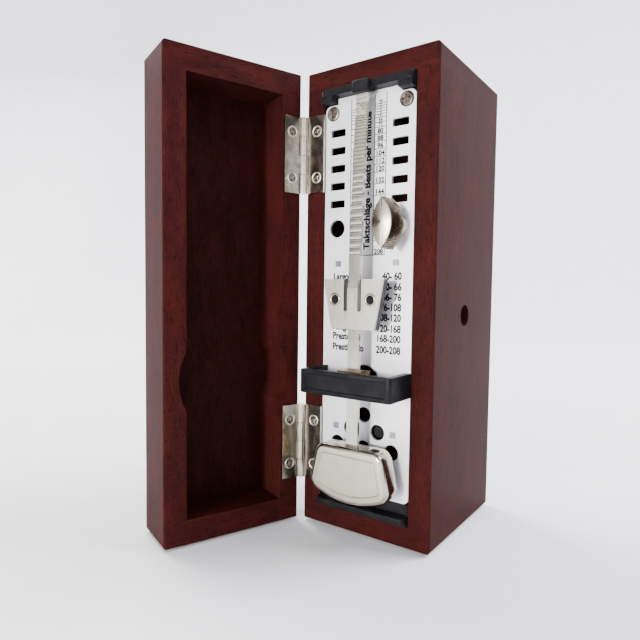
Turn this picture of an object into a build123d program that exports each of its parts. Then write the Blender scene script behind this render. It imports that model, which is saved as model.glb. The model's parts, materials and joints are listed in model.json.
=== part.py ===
"""Small wooden-cased pendulum metronome with a hinged door, standing open.

Millimetres, +Z up, -Y towards the dial, +X to the right of the dial.  The origin is the
centre of the case's footprint, on the surface that the case stands on.  Places are given as
x across the case, y back from the case's front face and z up from the case's underside, and
block() and the rod_*() functions move them to the origin's frame.
"""
import os
from math import acos, atan2, cos, degrees, hypot, pi, radians, sin, sqrt

from build123d import *

# ---- Case: width, depth and height outside, and its boards ----
CASE_W = 37.6
CASE_D = 41.1
CASE_H = 120.0
SIDE_T = 5.66  # side boards
CAP_T = 5.3  # top and bottom boards
BACK_T = 5.7
PAD_T = 0.8  # felt pad under the case
EDGE_R = 0.6
OPEN_X = CASE_W / 2 - SIDE_T  # half width of the case's opening

# ---- Door: a hollow lid as high and wide as the case ----
DOOR_T = 14.75
DOOR_GAP = 1.75  # from the case's front face to the closed door, filled by the hinge leaves
PANEL_T = 3.3
RAIL_T = 6.05
STILE_INNER_X = 13.15
STILE_W = CASE_W / 2 - STILE_INNER_X
RELIEF_Z = 40.4  # hollows in the stiles that let the door swing past the bridge
RELIEF_HALF = 7.15
RELIEF_DEPTH = 1.9
DOOR_OPEN = 110.3  # degrees from closed to the pose at rest

# ---- Hinges ----
HINGE_X = -19.21
HINGE_Y = -DOOR_GAP / 2
LEAF_T = 0.8
KNUCKLE_R = 1.35
PIN_R = 0.6
PIN_CLEAR = 0.04
HINGE_LOW = (11.7, 31.7)
HINGE_HIGH = (88.6, 108.6)
KNUCKLES = 4
KNUCKLE_GAP = 0.06  # at each end of every knuckle
KNUCKLE_CLEAR = 0.12  # between a knuckle and what turns round it
CASE_LEAF_X = -12.85
DOOR_LEAF_X = -13.4
CASE_SCREW_X = -15.1
DOOR_SCREW_X = -15.65
HINGE_SCREW_IN = 4.0  # from each end of the hinge
SCREW_R = 1.35

# ---- Dial plate ----
PLATE_X = 12.9
PLATE_LOW = 10.7
PLATE_TOP = 110.6
PLATE_TONGUE_X = 9.1
PLATE_TONGUE_TOP = 112.1
PLATE_Y = (0.3, 1.1)
SLOT_X = 8.95
SLOT_SIZE = (4.4, 1.95)
SLOT_TOP = 103.4
SLOT_PITCH = 4.54
SLOTS = 5
KEY_X = 8.95
KEY_HOLE_Z = 78.9
KEY_HOLE_R = 2.28
PIVOT_Z = 40.0
PIVOT_HOLE_R = 4.06
TAB_X = 8.4
TAB_Z = (27.3, 69.8)
TAB_SIZE = 1.5
DIAL_SCREW = (10.5, 108.45)
DIAL_SCREW_R = 0.9
ACCESS_R = 2.0  # of the round holes to the movement
ACCESS_PAIRS = ((4.0, 27.2), (8.0, 22.7))
ACCESS_MIDDLE = (31.2, 22.5)

# ---- Pendulum ----
ROD_W = 3.2
ROD_T = 0.9
ROD_Y = -5.4  # front face of the rod
ROD_LOW = 17.0
ROD_BEND = 72.5  # above this the parked rod leans back to its catch
ROD_LEAN_TOP = -3.15
ROD_TOP = 110.75
ARBOR_R = 1.0
ARBOR_END_R = 0.7
ARBOR_END = 1.6  # length of its thin back end
NOTCH = 0.28  # height of a notch, twice its depth
ARBOR_BACK = 32.2
BOB_TOP = (9.3, 24.3)  # half width and height of each corner
BOB_WIDE = (11.49, 14.3)
BOB_LOW = (10.2, 12.7)
BOB_BOTTOM = 10.2
BOB_Y = (-7.55, -2.0)

# ---- Where the weight's top edge stands for a tempo, up from the pivot: the balance of the
# pendulum gives tempo^2 = SCALE_A (SCALE_B - r) / (SCALE_C + r^2) ----
SCALE_A = 3.91e6
SCALE_B = 71.74
SCALE_C = 2598.0
TEMPOS = (
    list(range(40, 60, 2)) + list(range(60, 72, 3)) + list(range(72, 120, 4))
    + list(range(120, 144, 6)) + list(range(144, 209, 8))
)

# ---- Sliding weight ----
WEIGHT_LOW = (6.17, 53.4)
WEIGHT_TOP = (8.44, 65.65)
WEIGHT_Y = (-6.1, -3.7)
FACE_T = 0.65
TONGUE_SLOT = (1.45, 2.5, 57.7)
FIT = 0.05  # running clearance on each side
RIVET = (5.02, 60.7, 1.6)
RIVET_ROLL = 0.35  # how far its rim stands out from its shank

# ---- Bridge over the pivot ----
BRIDGE_X = 13.0
BRIDGE_Z = (37.05, 43.05)
BRIDGE_Y = -10.0
BRIDGE_WEB = 1.5
BRIDGE_LEG = 1.6
BRIDGE_SCREW_X = 12.2
BRIDGE_SCREW_R = 0.65

# ---- Winding key ----
KEY_Z = 78.6
WING_HALF = (2.71, 5.97)
WING_Y = (-8.65, -2.4)
KEY_HUB_R = 2.6
KEY_PIPE_R = 1.95
KEY_END = 4.6
SQUARE = 2.2

# ---- Movement ----
SIDE_PLATE = (7.65, 9.15)
SIDE_PLATE_Y = (1.1, 34.0)
SIDE_PLATE_Z = (24.5, 72.5)
MODULE = 0.4
GREAT_TEETH = 50
SECOND_TEETH = 40
PINION_TEETH = 8
WINDING = (19.2, 56.75)  # y, z of the barrel arbor and of the hole in the case's side
WINDING_HOLE_R = 2.8
ESCAPE = (18.0, 36.6)
CROWN_R = 5.5
CROWN_TEETH = 15
CROWN_X = (-4.5, -1.9)
DRUM_X = (-4.0, 4.9)
DRUM_R = 8.5
GREAT_X = (4.9, 5.9)
SECOND_X = (-6.8, -5.8)
RATCHET_X = (9.5, 10.4)
RATCHET_TEETH = 18
RATCHET_R = 4.2
WINDING_R = 1.5
SECOND_R = 0.7
ESCAPE_R = 0.6
CLICK_SCREW_R = 0.7
PILLAR_R = 1.5
PILLAR_END_R = 0.8
CLICK_AT = 60.0  # degrees round the ratchet where the click's tip stands
CLICK_REACH = 5.5

FRONT = -CASE_D / 2


def block(x, y, z):
    """A box between two x, two y and two z."""
    size = (x[1] - x[0], y[1] - y[0], z[1] - z[0])
    centre = ((x[0] + x[1]) / 2, FRONT + (y[0] + y[1]) / 2, PAD_T + (z[0] + z[1]) / 2)
    return Pos(*centre) * Box(*size)


def rod_x(r, y, z, x):
    """A cylinder along X between two x."""
    place = Pos((x[0] + x[1]) / 2, FRONT + y, PAD_T + z) * Rot(0, 90, 0)
    return place * Cylinder(r, x[1] - x[0])


def rod_y(r, x, z, y):
    """A cylinder along Y between two y."""
    place = Pos(x, FRONT + (y[0] + y[1]) / 2, PAD_T + z) * Rot(90, 0, 0)
    return place * Cylinder(r, y[1] - y[0])


def rod_z(r, x, y, z):
    """A cylinder along Z between two z."""
    return Pos(x, FRONT + y, PAD_T + (z[0] + z[1]) / 2) * Cylinder(r, z[1] - z[0])


def upright(outline, y):
    """A flat outline, drawn as x and z, made solid between two y."""
    plane = Plane(origin=(0, FRONT + y[1], PAD_T), x_dir=(1, 0, 0), z_dir=(0, -1, 0))
    return extrude(plane * outline, y[1] - y[0])


def sideways(outline, centre, x):
    """A flat outline, drawn as y and z about a centre, made solid between two x."""
    origin = (x[0], FRONT + centre[0], PAD_T + centre[1])
    plane = Plane(origin=origin, x_dir=(0, 1, 0), z_dir=(1, 0, 0))
    return extrude(plane * outline, x[1] - x[0])


def polygon(points):
    """The face inside a closed line through some points."""
    return make_face(Polyline(*points, close=True))


def mirrored(points):
    """Points on the right, with their images on the left behind them in reverse."""
    return points + [(-x, z) for x, z in reversed(points)]


def both_sides(solid):
    """A solid and its image on the other side of the middle."""
    return [solid, mirror(solid, Plane.YZ)]


def rounded_block(y):
    """A block of the case's width and height, its left and right edges rounded."""
    half = CASE_W / 2
    solid = block((-half, half), y, (0, CASE_H))
    for side in (0, -1):
        solid = fillet(solid.faces().sort_by(Axis.X)[side].edges(), EDGE_R)
    return solid


def knuckle_grooves():
    """The hollows along the hinge edges of the case and the door, round the knuckles."""
    return [
        rod_z(KNUCKLE_R + KNUCKLE_CLEAR, HINGE_X, HINGE_Y, (low - KNUCKLE_CLEAR, high + KNUCKLE_CLEAR))
        for low, high in (HINGE_LOW, HINGE_HIGH)
    ]


# ---- Wooden case and door ----
def case_boards(hinge_screws):
    """Five boards: full-width top and bottom, two sides and the back."""
    whole = rounded_block((0, CASE_D))
    half = CASE_W / 2
    depth = (0, CASE_D)
    middle = (CAP_T, CASE_H - CAP_T)
    left = whole & block((-half, -OPEN_X), depth, middle)
    for cut in hinge_screws + knuckle_grooves():
        left -= cut
    right = whole & block((OPEN_X, half), depth, middle)
    right -= rod_x(WINDING_HOLE_R, *WINDING, (OPEN_X - 1, half + 1))
    return {
        "case_top": whole & block((-half, half), depth, (CASE_H - CAP_T, CASE_H)),
        "case_bottom": whole & block((-half, half), depth, (0, CAP_T)),
        "case_left_side": left,
        "case_right_side": right,
        "case_back": block((-OPEN_X, OPEN_X), (CASE_D - BACK_T, CASE_D), middle),
        "base_felt": block((-17.2, 17.2), (1.6, 39.5), (-PAD_T, 0)),
    }


def bridge_relief():
    """The hollow cut in both stiles: a flat arc across each inner face."""
    reach = (RELIEF_HALF ** 2 + RELIEF_DEPTH ** 2) / (2 * RELIEF_DEPTH)
    middle = STILE_INNER_X + RELIEF_DEPTH - reach
    front = -DOOR_GAP - DOOR_T + PANEL_T
    return [rod_y(reach, side * middle, RELIEF_Z, (front, 0)) for side in (-1, 1)]


def door_boards(hinge_screws):
    """Two rails, two stiles and a panel, in the place of the closed door."""
    outer = -DOOR_GAP - DOOR_T
    panel_back = outer + PANEL_T
    half = CASE_W / 2
    inner = half - STILE_W
    whole = rounded_block((outer, -DOOR_GAP))
    frame_y = (panel_back, -DOOR_GAP)
    middle = (RAIL_T, CASE_H - RAIL_T)
    boards = {
        "door_top_rail": whole & block((-half, half), frame_y, (CASE_H - RAIL_T, CASE_H)),
        "door_bottom_rail": whole & block((-half, half), frame_y, (0, RAIL_T)),
        "door_hinge_stile": whole & block((-half, -inner), frame_y, middle),
        "door_free_stile": whole & block((inner, half), frame_y, middle),
        "door_panel": whole & block((-half, half), (outer, panel_back), (0, CASE_H)),
    }
    for relief in bridge_relief():
        boards["door_hinge_stile"] -= relief
        boards["door_free_stile"] -= relief
    for cut in hinge_screws + knuckle_grooves():
        boards["door_hinge_stile"] -= cut
    return boards


def swing_open(solid):
    """A door part moved from its closed place to the open one."""
    axis = Axis((HINGE_X, FRONT + HINGE_Y, 0), (0, 0, 1))
    return solid.rotate(axis, -DOOR_OPEN)


# ---- Hinges and their screws ----
def knuckle_spans(ends):
    """Four equal knuckles from the bottom, the case's first."""
    step = (ends[1] - ends[0]) / KNUCKLES
    starts = [ends[0] + n * step for n in range(KNUCKLES)]
    spans = [(start + KNUCKLE_GAP, start + step - KNUCKLE_GAP) for start in starts]
    return spans[0::2], spans[1::2]


def hinge_leaf(ends, own, others, inner_x, y):
    """A leaf with its own knuckles, cut away round the other leaf's knuckles."""
    leaf = block((HINGE_X, inner_x), y, ends)
    for span in others:
        cut = (span[0] - KNUCKLE_CLEAR, span[1] + KNUCKLE_CLEAR)
        clear_r = KNUCKLE_R + KNUCKLE_CLEAR
        leaf -= rod_z(clear_r, HINGE_X, HINGE_Y, cut)
        leaf -= block((HINGE_X - 1, HINGE_X + clear_r), y, cut)
    for span in own:
        leaf += rod_z(KNUCKLE_R, HINGE_X, HINGE_Y, span)
    return leaf - rod_z(PIN_R + PIN_CLEAR, HINGE_X, HINGE_Y, (ends[0] - 1, ends[1] + 1))


def wood_screw(x, z, face_y, inward):
    """A flat-headed screw with a cross recess; inward is the sense of its point along Y."""
    head = Cone(SCREW_R - 0.55, SCREW_R, LEAF_T)
    shank = Pos(0, 0, -LEAF_T / 2 - 2.2) * Cylinder(0.7, 4.4)
    slot = Pos(0, 0, LEAF_T / 2) * Box(1.7, 0.32, 0.6)
    screw = head + shank - slot - Rot(0, 0, 90) * slot
    turn = 90 if inward > 0 else -90
    depth = face_y + inward * LEAF_T / 2
    return Pos(x, FRONT + depth, PAD_T + z) * Rot(turn, 0, 30) * screw


def hinge_screws(x, face_y, inward):
    """The two screws of one leaf on each hinge."""
    heights = [
        ends[side] + (HINGE_SCREW_IN if side == 0 else -HINGE_SCREW_IN)
        for ends in (HINGE_LOW, HINGE_HIGH)
        for side in (0, 1)
    ]
    return [wood_screw(x, z, face_y, inward) for z in heights]


def hinge_pin(ends):
    """A headless pin through all the knuckles."""
    return rod_z(PIN_R, HINGE_X, HINGE_Y, (ends[0] + 0.1, ends[1] - 0.1))


def hinges(case_screws, door_screws):
    """Both butt hinges: a case leaf, a door leaf and a pin each."""
    parts = {}
    for name, ends in (("lower", HINGE_LOW), ("upper", HINGE_HIGH)):
        case_own, door_own = knuckle_spans(ends)
        case_y = (-LEAF_T, 0)
        door_y = (-DOOR_GAP, -DOOR_GAP + LEAF_T)
        case_leaf = hinge_leaf(ends, case_own, door_own, CASE_LEAF_X, case_y)
        door_leaf = hinge_leaf(ends, door_own, case_own, DOOR_LEAF_X, door_y)
        for screw in case_screws:
            case_leaf -= screw
        for screw in door_screws:
            door_leaf -= screw
        parts[name + "_hinge_case_leaf"] = case_leaf
        parts[name + "_hinge_door_leaf"] = swing_open(door_leaf)
        parts[name + "_hinge_pin"] = hinge_pin(ends)
    return parts


# ---- Dial plate and the black mouldings above and below it ----
def dial_plate():
    """The plate with its slots, key holes, pivot hole, tab slots and fixing holes."""
    height = PLATE_TOP - PLATE_LOW
    outline = Pos(0, PLATE_LOW + height / 2) * RectangleRounded(2 * PLATE_X, height, 1.5)
    plate = upright(outline, PLATE_Y)
    plate += block((-PLATE_TONGUE_X, PLATE_TONGUE_X), PLATE_Y, (PLATE_TOP - 1, PLATE_TONGUE_TOP))
    through = (PLATE_Y[0] - 1, PLATE_Y[1] + 1)
    slot_face = RectangleRounded(*SLOT_SIZE, 0.3)
    for side in (-1, 1):
        for n in range(SLOTS):
            place = Pos(side * SLOT_X, SLOT_TOP - n * SLOT_PITCH)
            plate -= upright(place * slot_face, through)
        plate -= rod_y(KEY_HOLE_R, side * KEY_X, KEY_HOLE_Z, through)
        plate -= rod_y(DIAL_SCREW_R + 2 * FIT, side * DIAL_SCREW[0], DIAL_SCREW[1], through)
        for x, z in ACCESS_PAIRS:
            plate -= rod_y(ACCESS_R, side * x, z, through)
        plate -= rod_y(BRIDGE_SCREW_R, side * BRIDGE_SCREW_X, PIVOT_Z, through)
        for z in TAB_Z:
            plate -= tab(side, z)
    for z in ACCESS_MIDDLE:
        plate -= rod_y(ACCESS_R, 0, z, through)
    return plate - rod_y(PIVOT_HOLE_R, 0, PIVOT_Z, through)


def tab(side, z):
    """A side plate's square tab, through the dial plate and a little proud of it."""
    half = TAB_SIZE / 2
    x = (side * TAB_X - half, side * TAB_X + half)
    return block(x, (PLATE_Y[0] - 0.35, PLATE_Y[1]), (z - half, z + half))


def top_ledge():
    """The black moulding over the plate, with feet on the plate's corners."""
    x = (-PLATE_X, PLATE_X)
    ledge = block(x, (-2.4, 4.0), (112.2, 113.8))
    ledge = fillet(ledge.edges().filter_by(Axis.Z).group_by(Axis.Y)[0], 1.2)
    ledge += block(x, (-1.0, 6.0), (112.2, 114.7))
    for side in both_sides(block((9.3, PLATE_X), (-2.2, PLATE_Y[0]), (110.8, 112.6))):
        ledge += side
    for side in both_sides(block((8.2, PLATE_X), (PLATE_Y[1], 6.0), (105.6, 112.6))):
        ledge += side
    for side in (-1, 1):
        ledge -= rod_y(DIAL_SCREW_R, side * DIAL_SCREW[0], DIAL_SCREW[1], (0, 5.4))
    return ledge


def rod_catch():
    """The block on the ledge's middle, grooved above the tip of the parked rod."""
    catch = block((-2.22, 2.22), (-4.28, -2.4), (111.0, 113.8))
    return catch - block((-1.75, 1.75), (-3.6, -2.4), (110, 111.6))


def bottom_tray():
    """The black moulding under the plate: a lip, a low wall and a lug behind the plate."""
    lip = tray_lip()
    x = (-PLATE_X, PLATE_X)
    foot = block(x, (-1.0, 4.0), (CAP_T, 8.0))
    wall = block(x, (PLATE_Y[0], 2.4), (CAP_T, 10.6))
    lug = block((-6.0, 6.0), (PLATE_Y[1], 4.0), (CAP_T, 14.0))
    return lip + foot + wall + lug


def tray_lip():
    """The tray's lip, rounded at its two front corners."""
    lip = block((-PLATE_X, PLATE_X), (-3.0, 0), (6.5, 8.0))
    edges = lip.edges().filter_by(Axis.Z).group_by(Axis.Y)[0]
    return fillet(edges, 1.6)


def cross_screw(x, z, head_r, face_y, length):
    """A round-headed machine screw with a cross recess, pointing along +Y."""
    head = rod_y(head_r, x, z, (face_y - 0.55, face_y))
    rim = head.edges().sort_by(Axis.Y)[0]
    head = fillet(rim, 0.4)
    shank = rod_y(DIAL_SCREW_R, x, z, (face_y, face_y + length))
    deep = (face_y - 1, face_y - 0.2)
    slots = block((x - 1.15, x + 1.15), deep, (z - 0.17, z + 0.17))
    slots += block((x - 0.17, x + 0.17), deep, (z - 1.15, z + 1.15))
    return head + shank - slots


def dial_screws():
    """Two screws that hold the plate's top corners to the ledge."""
    x, z = DIAL_SCREW
    return Compound([cross_screw(side * x, z, 1.85, PLATE_Y[0], 5.0) for side in (-1, 1)])


# ---- Bridge ----
def bridge():
    """The black bridge over the pivot: a grooved web on two legs, with a blind bearing hole."""
    low, high = BRIDGE_Z
    web = block((-BRIDGE_X, BRIDGE_X), (BRIDGE_Y, BRIDGE_Y + BRIDGE_WEB), BRIDGE_Z)
    panel_x = (-BRIDGE_X + 0.7, BRIDGE_X - 0.7)
    panel = block(panel_x, (BRIDGE_Y, BRIDGE_Y + 0.35), (low + 0.75, high - 0.75))
    solid = web - panel
    leg_x = (BRIDGE_X - BRIDGE_LEG, BRIDGE_X)
    for leg in both_sides(block(leg_x, (BRIDGE_Y, PLATE_Y[0]), BRIDGE_Z)):
        solid += leg
    for side in (-1, 1):
        solid -= rod_y(BRIDGE_SCREW_R, side * BRIDGE_SCREW_X, PIVOT_Z, (-3.2, PLATE_Y[0]))
    solid += rod_y(2.2, 0, PIVOT_Z, (BRIDGE_Y + BRIDGE_WEB, BRIDGE_Y + BRIDGE_WEB + 0.5))
    return solid - rod_y(ARBOR_END_R + FIT, 0, PIVOT_Z, (BRIDGE_Y + 0.9, 0))


def bridge_screws():
    """Two screws from behind the plate into the bridge's legs."""
    shank = rod_y(BRIDGE_SCREW_R, BRIDGE_SCREW_X, PIVOT_Z, (-3.0, PLATE_Y[1]))
    head = rod_y(0.9, BRIDGE_SCREW_X, PIVOT_Z, (PLATE_Y[1], PLATE_Y[1] + 0.8))
    return Compound(both_sides(shank + head))


# ---- Pendulum ----
def scale_height(tempo):
    """How far above the pivot the weight's top edge stands for a tempo."""
    square = tempo ** 2
    root = sqrt(SCALE_A ** 2 + 4 * square * (SCALE_A * SCALE_B - SCALE_C * square))
    return (root - SCALE_A) / (2 * square)


def pendulum_rod():
    """The flat rod: upright below, sprung back above, and notched at each tempo."""
    back = ROD_T
    side = [
        (ROD_Y, ROD_LOW), (ROD_Y + back, ROD_LOW), (ROD_Y + back, ROD_BEND),
        (ROD_LEAN_TOP + back, ROD_TOP), (ROD_LEAN_TOP, ROD_TOP), (ROD_Y, ROD_BEND),
    ]
    rod = sideways(polygon(side), (0, 0), (-ROD_W / 2, ROD_W / 2))
    slope = (ROD_LEAN_TOP - ROD_Y) / (ROD_TOP - ROD_BEND)
    for tempo in TEMPOS:
        z = PIVOT_Z + scale_height(tempo)
        front = ROD_Y + max(0, z - ROD_BEND) * slope
        rod -= block((-2, 2), (front - 1, front + NOTCH / 2), (z - NOTCH / 2, z + NOTCH / 2))
    return rod - rod_y(ARBOR_R, 0, PIVOT_Z, (-7, 0))


def pendulum_arbor():
    """The spindle that the pendulum swings on, thinner at its two ends."""
    spindle = rod_y(ARBOR_R, 0, PIVOT_Z, (-7.9, ARBOR_BACK - ARBOR_END))
    spindle += rod_y(ARBOR_END_R, 0, PIVOT_Z, (-8.9, -7.9))
    return spindle + rod_y(ARBOR_END_R, 0, PIVOT_Z, (ARBOR_BACK - ARBOR_END, ARBOR_BACK))


def rod_clamp():
    """The block that clamps the rod to the spindle."""
    clamp = block((-3.3, 3.3), (-7.4, -2.6), (36.8, 43.2))
    clamp -= block((-ROD_W / 2, ROD_W / 2), (ROD_Y, ROD_Y + ROD_T), (36, 44))
    return clamp - rod_y(ARBOR_R, 0, PIVOT_Z, (-8, 0))


def bob():
    """The lower weight: a bevelled bell shape, slotted at the top for the rod."""
    right = [BOB_TOP, BOB_WIDE, BOB_LOW]
    (top_x, top_z), (low_x, low_z) = BOB_TOP, BOB_LOW
    outline = make_face(
        Polyline((-top_x, top_z), *right)
        + ThreePointArc((low_x, low_z), (0, BOB_BOTTOM), (-low_x, low_z))
        + Polyline((-low_x, low_z), (-BOB_WIDE[0], BOB_WIDE[1]), (-top_x, top_z))
    )
    shoulders = outline.vertices().group_by(Axis.Y)[-1]
    outline = fillet(shoulders, 2.4)
    solid = upright(outline, BOB_Y)
    front = solid.faces().sort_by(Axis.Y)[0]
    solid = chamfer(front.edges(), 0.75)
    return solid - block((-ROD_W / 2, ROD_W / 2), (ROD_Y, ROD_Y + ROD_T), (ROD_LOW, BOB_TOP[1] + 1))


def pallets():
    """Two steel flags on the spindle, one at each side of the escape wheel's middle."""
    offset = sqrt(CROWN_R ** 2 - (PIVOT_Z - ESCAPE[1]) ** 2)
    flags = []
    for side, tilt in ((-1, 40), (1, -40)):
        y = ESCAPE[0] + side * offset
        collar = rod_y(1.25, 0, PIVOT_Z, (y - 0.8, y + 0.8))
        flag = block((-1.75, 0), (y - 0.8, y + 0.8), (PIVOT_Z - 0.2, PIVOT_Z + 0.2))
        axis = Axis((0, 0, PAD_T + PIVOT_Z), (0, 1, 0))
        solid = collar + flag.rotate(axis, tilt)
        flags.append(solid - rod_y(ARBOR_R, 0, PIVOT_Z, (y - 2, y + 2)))
    return Compound(flags)


# ---- Sliding weight ----
def weight_outline():
    """The weight's trapezium, wider at the top."""
    return polygon(mirrored([WEIGHT_LOW, WEIGHT_TOP]))


def weight_face():
    """The thin front plate; two slots leave a springy tongue over the rod."""
    face = upright(weight_outline(), (WEIGHT_Y[0], WEIGHT_Y[0] + FACE_T))
    inner, outer, low = TONGUE_SLOT
    for cut in both_sides(block((inner, outer), (-8, -4), (low, WEIGHT_TOP[1] + 1))):
        face -= cut
    for side in (-1, 1):
        face -= rod_y(RIVET[2] - RIVET_ROLL, side * RIVET[0], RIVET[1], (-8, 0))
    return face


def weight_body():
    """The thick back plate, channelled for the rod."""
    body = upright(weight_outline(), (WEIGHT_Y[0] + FACE_T, WEIGHT_Y[1]))
    half = ROD_W / 2 + FIT
    channel = (WEIGHT_Y[0] + FACE_T, ROD_Y + ROD_T + FIT)
    body -= block((-half, half), channel, (50, 70))
    for side in (-1, 1):
        body -= rod_y(RIVET[2] - RIVET_ROLL, side * RIVET[0], RIVET[1], (-8, 0))
    return body


def weight_rivets():
    """Two hollow rivets with rolled rims."""
    x, z, r = RIVET
    rivets = []
    for side in (-1, 1):
        rim = rod_y(r, side * x, z, (WEIGHT_Y[0] - 0.25, WEIGHT_Y[0]))
        shank = rod_y(r - RIVET_ROLL, side * x, z, WEIGHT_Y)
        rivets.append(rim + shank - rod_y(r - 0.65, side * x, z, (-9, WEIGHT_Y[1] - 0.4)))
    return Compound(rivets)


# ---- Winding key ----
def key_wing():
    """The leaf-shaped grip: two arcs that meet at points above and below, trimmed blunt."""
    half, tall = WING_HALF
    right = ThreePointArc((0, tall), (half, 0), (0, -tall))
    left = ThreePointArc((0, -tall), (-half, 0), (0, tall))
    leaf = Pos(KEY_X, KEY_Z) * make_face(right + left)
    wing = upright(leaf, WING_Y)
    front = wing.faces().sort_by(Axis.Y)[0]
    wing = chamfer(front.edges(), 0.3)
    for r in (1.7, 1.0):
        ring = rod_y(r, KEY_X, KEY_Z, (WING_Y[0], WING_Y[0] + 0.12))
        wing -= ring - rod_y(r - 0.25, KEY_X, KEY_Z, (WING_Y[0], WING_Y[0] + 0.12))
    return wing


def key_shank():
    """The key's hub and pipe, with a square socket at the end."""
    hub = rod_y(KEY_HUB_R, KEY_X, KEY_Z, (WING_Y[1], PLATE_Y[0] - 0.05))
    pipe = rod_y(KEY_PIPE_R, KEY_X, KEY_Z, (PLATE_Y[0] - 0.05, KEY_END))
    half = SQUARE / 2 + FIT
    socket = block((KEY_X - half, KEY_X + half), (0.2, KEY_END + 1), (KEY_Z - half, KEY_Z + half))
    return hub + pipe - socket


# ---- Movement: side plates, pillars and the wheel train ----
def second_place():
    """The second arbor, at the right distance from both the barrel and the escape arbor."""
    first = MODULE * (GREAT_TEETH + PINION_TEETH) / 2
    second = MODULE * (SECOND_TEETH + PINION_TEETH) / 2
    along = (ESCAPE[0] - WINDING[0], ESCAPE[1] - WINDING[1])
    span = hypot(*along)
    bend = acos((first ** 2 + span ** 2 - second ** 2) / (2 * first * span))
    heading = atan2(along[1], along[0]) + bend
    return WINDING[0] + first * cos(heading), WINDING[1] + first * sin(heading)


def gear_outline(teeth, phase):
    """A spur gear's outline with slim pointed teeth; phase is one tooth's angle in degrees."""
    pitch_r = MODULE * teeth / 2
    tip_r = pitch_r + 0.75 * MODULE
    root_r = pitch_r - 1.0 * MODULE
    step = 2 * pi / teeth
    points = []
    for n in range(teeth):
        middle = radians(phase) + n * step
        for r, half in ((root_r, 0.30), (pitch_r, 0.19), (tip_r, 0.07)):
            points.append((r * cos(middle - half * step), r * sin(middle - half * step)))
        for r, half in ((tip_r, 0.07), (pitch_r, 0.19), (root_r, 0.30)):
            points.append((r * cos(middle + half * step), r * sin(middle + half * step)))
    return polygon(points)


def heading(start, end):
    """The angle of the line between two arbors, in degrees."""
    return degrees(atan2(end[1] - start[1], end[0] - start[0]))


def gap_facing(teeth, angle):
    """The phase that puts a gap between two teeth at an angle."""
    return angle + 180 / teeth


def barrel():
    """The great wheel and the spring barrel behind it, as two nodes."""
    arbor_hole = rod_x(WINDING_R + FIT, *WINDING, (-8, 8))
    toothed = gear_outline(GREAT_TEETH, heading(WINDING, second_place()))
    wheel = sideways(toothed, WINDING, GREAT_X) - arbor_hole
    drum = rod_x(DRUM_R, *WINDING, DRUM_X) - rod_x(DRUM_R - 0.6, *WINDING, (DRUM_X[0] + 0.7, DRUM_X[1]))
    return wheel, drum - arbor_hole


def mainspring():
    """The coiled strip in the barrel: a spiral of even pitch, open at both ends."""
    inner_r, outer_r, turns, strip = 2.9, 7.5, 8, 0.25
    grow = (outer_r - inner_r) / (2 * pi * turns)
    steps = [2 * pi * n / 12 for n in range(turns * 12 + 1)]

    def edge(offset):
        reaches = [inner_r + offset + grow * a for a in steps]
        return Spline(*[(r * cos(a), r * sin(a)) for r, a in zip(reaches, steps)])

    inside, outside = edge(0), edge(strip)
    ends = [Line(inside @ 0, outside @ 0), Line(inside @ 1, outside @ 1)]
    outline = make_face([inside, outside] + ends)
    return sideways(outline, WINDING, (DRUM_X[0] + 1.1, DRUM_X[1] - 0.5))


def barrel_arbor():
    """The winding arbor, squared at the right end for the key."""
    core = rod_x(2.5, *WINDING, (DRUM_X[0] + 1.0, DRUM_X[1] - 0.4))
    shaft = rod_x(WINDING_R, *WINDING, (-9.3, RATCHET_X[1] + 0.2))
    half = SQUARE / 2
    y, z = WINDING
    square = block((RATCHET_X[1], 12.4), (y - half, y + half), (z - half, z + half))
    return core + shaft + square


def saw_outline(teeth, tip_r, root_r):
    """A ratchet wheel's outline."""
    step = 2 * pi / teeth
    points = []
    for n in range(teeth):
        points.append((tip_r * cos(n * step), tip_r * sin(n * step)))
        points.append((root_r * cos(n * step + 0.08), root_r * sin(n * step + 0.08)))
    return polygon(points)


def ratchet_wheel():
    """The ratchet on the winding arbor, outside the right side plate."""
    wheel = sideways(saw_outline(RATCHET_TEETH, RATCHET_R, RATCHET_R - 0.7), WINDING, RATCHET_X)
    return wheel - rod_x(WINDING_R, *WINDING, (8, 12))


def click_place():
    """Where the click's tip and its screw stand: the click lies along the ratchet's tangent."""
    angle = radians(CLICK_AT)
    tip_r = RATCHET_R + 0.1
    tip = (WINDING[0] + tip_r * cos(angle), WINDING[1] + tip_r * sin(angle))
    pivot = (tip[0] + CLICK_REACH * sin(angle), tip[1] - CLICK_REACH * cos(angle))
    return tip, pivot


def click_parts():
    """The click, the screw it turns on and its spring."""
    tip, (y, z) = click_place()
    angle = radians(CLICK_AT)
    out = (cos(angle), sin(angle))
    point = (tip[0] - y, tip[1] - z)
    body = [
        (0, 0), point, (point[0] + 0.7 * out[0], point[1] + 0.7 * out[1]),
        (1.5 * out[0], 1.5 * out[1]),
    ]
    click = sideways(polygon(body), (y, z), RATCHET_X) + rod_x(1.5, y, z, RATCHET_X)
    click -= rod_x(CLICK_SCREW_R + FIT, y, z, (9, 11))
    screw = rod_x(CLICK_SCREW_R, y, z, (SIDE_PLATE[0], RATCHET_X[1] + 0.1))
    screw += rod_x(1.4, y, z, (RATCHET_X[1] + 0.1, RATCHET_X[1] + 0.7))
    foot = (y - 0.5, z + 5.6)
    spring = block((SIDE_PLATE[1], RATCHET_X[1]), (foot[0], foot[0] + 2.4), (foot[1], foot[1] + 1.4))
    leaf = (SIDE_PLATE[1] + 0.4, RATCHET_X[1])
    spring += block(leaf, (tip[0] + 0.3, foot[0]), (foot[1] + 0.1, foot[1] + 0.35))
    return click, screw, spring


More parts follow.
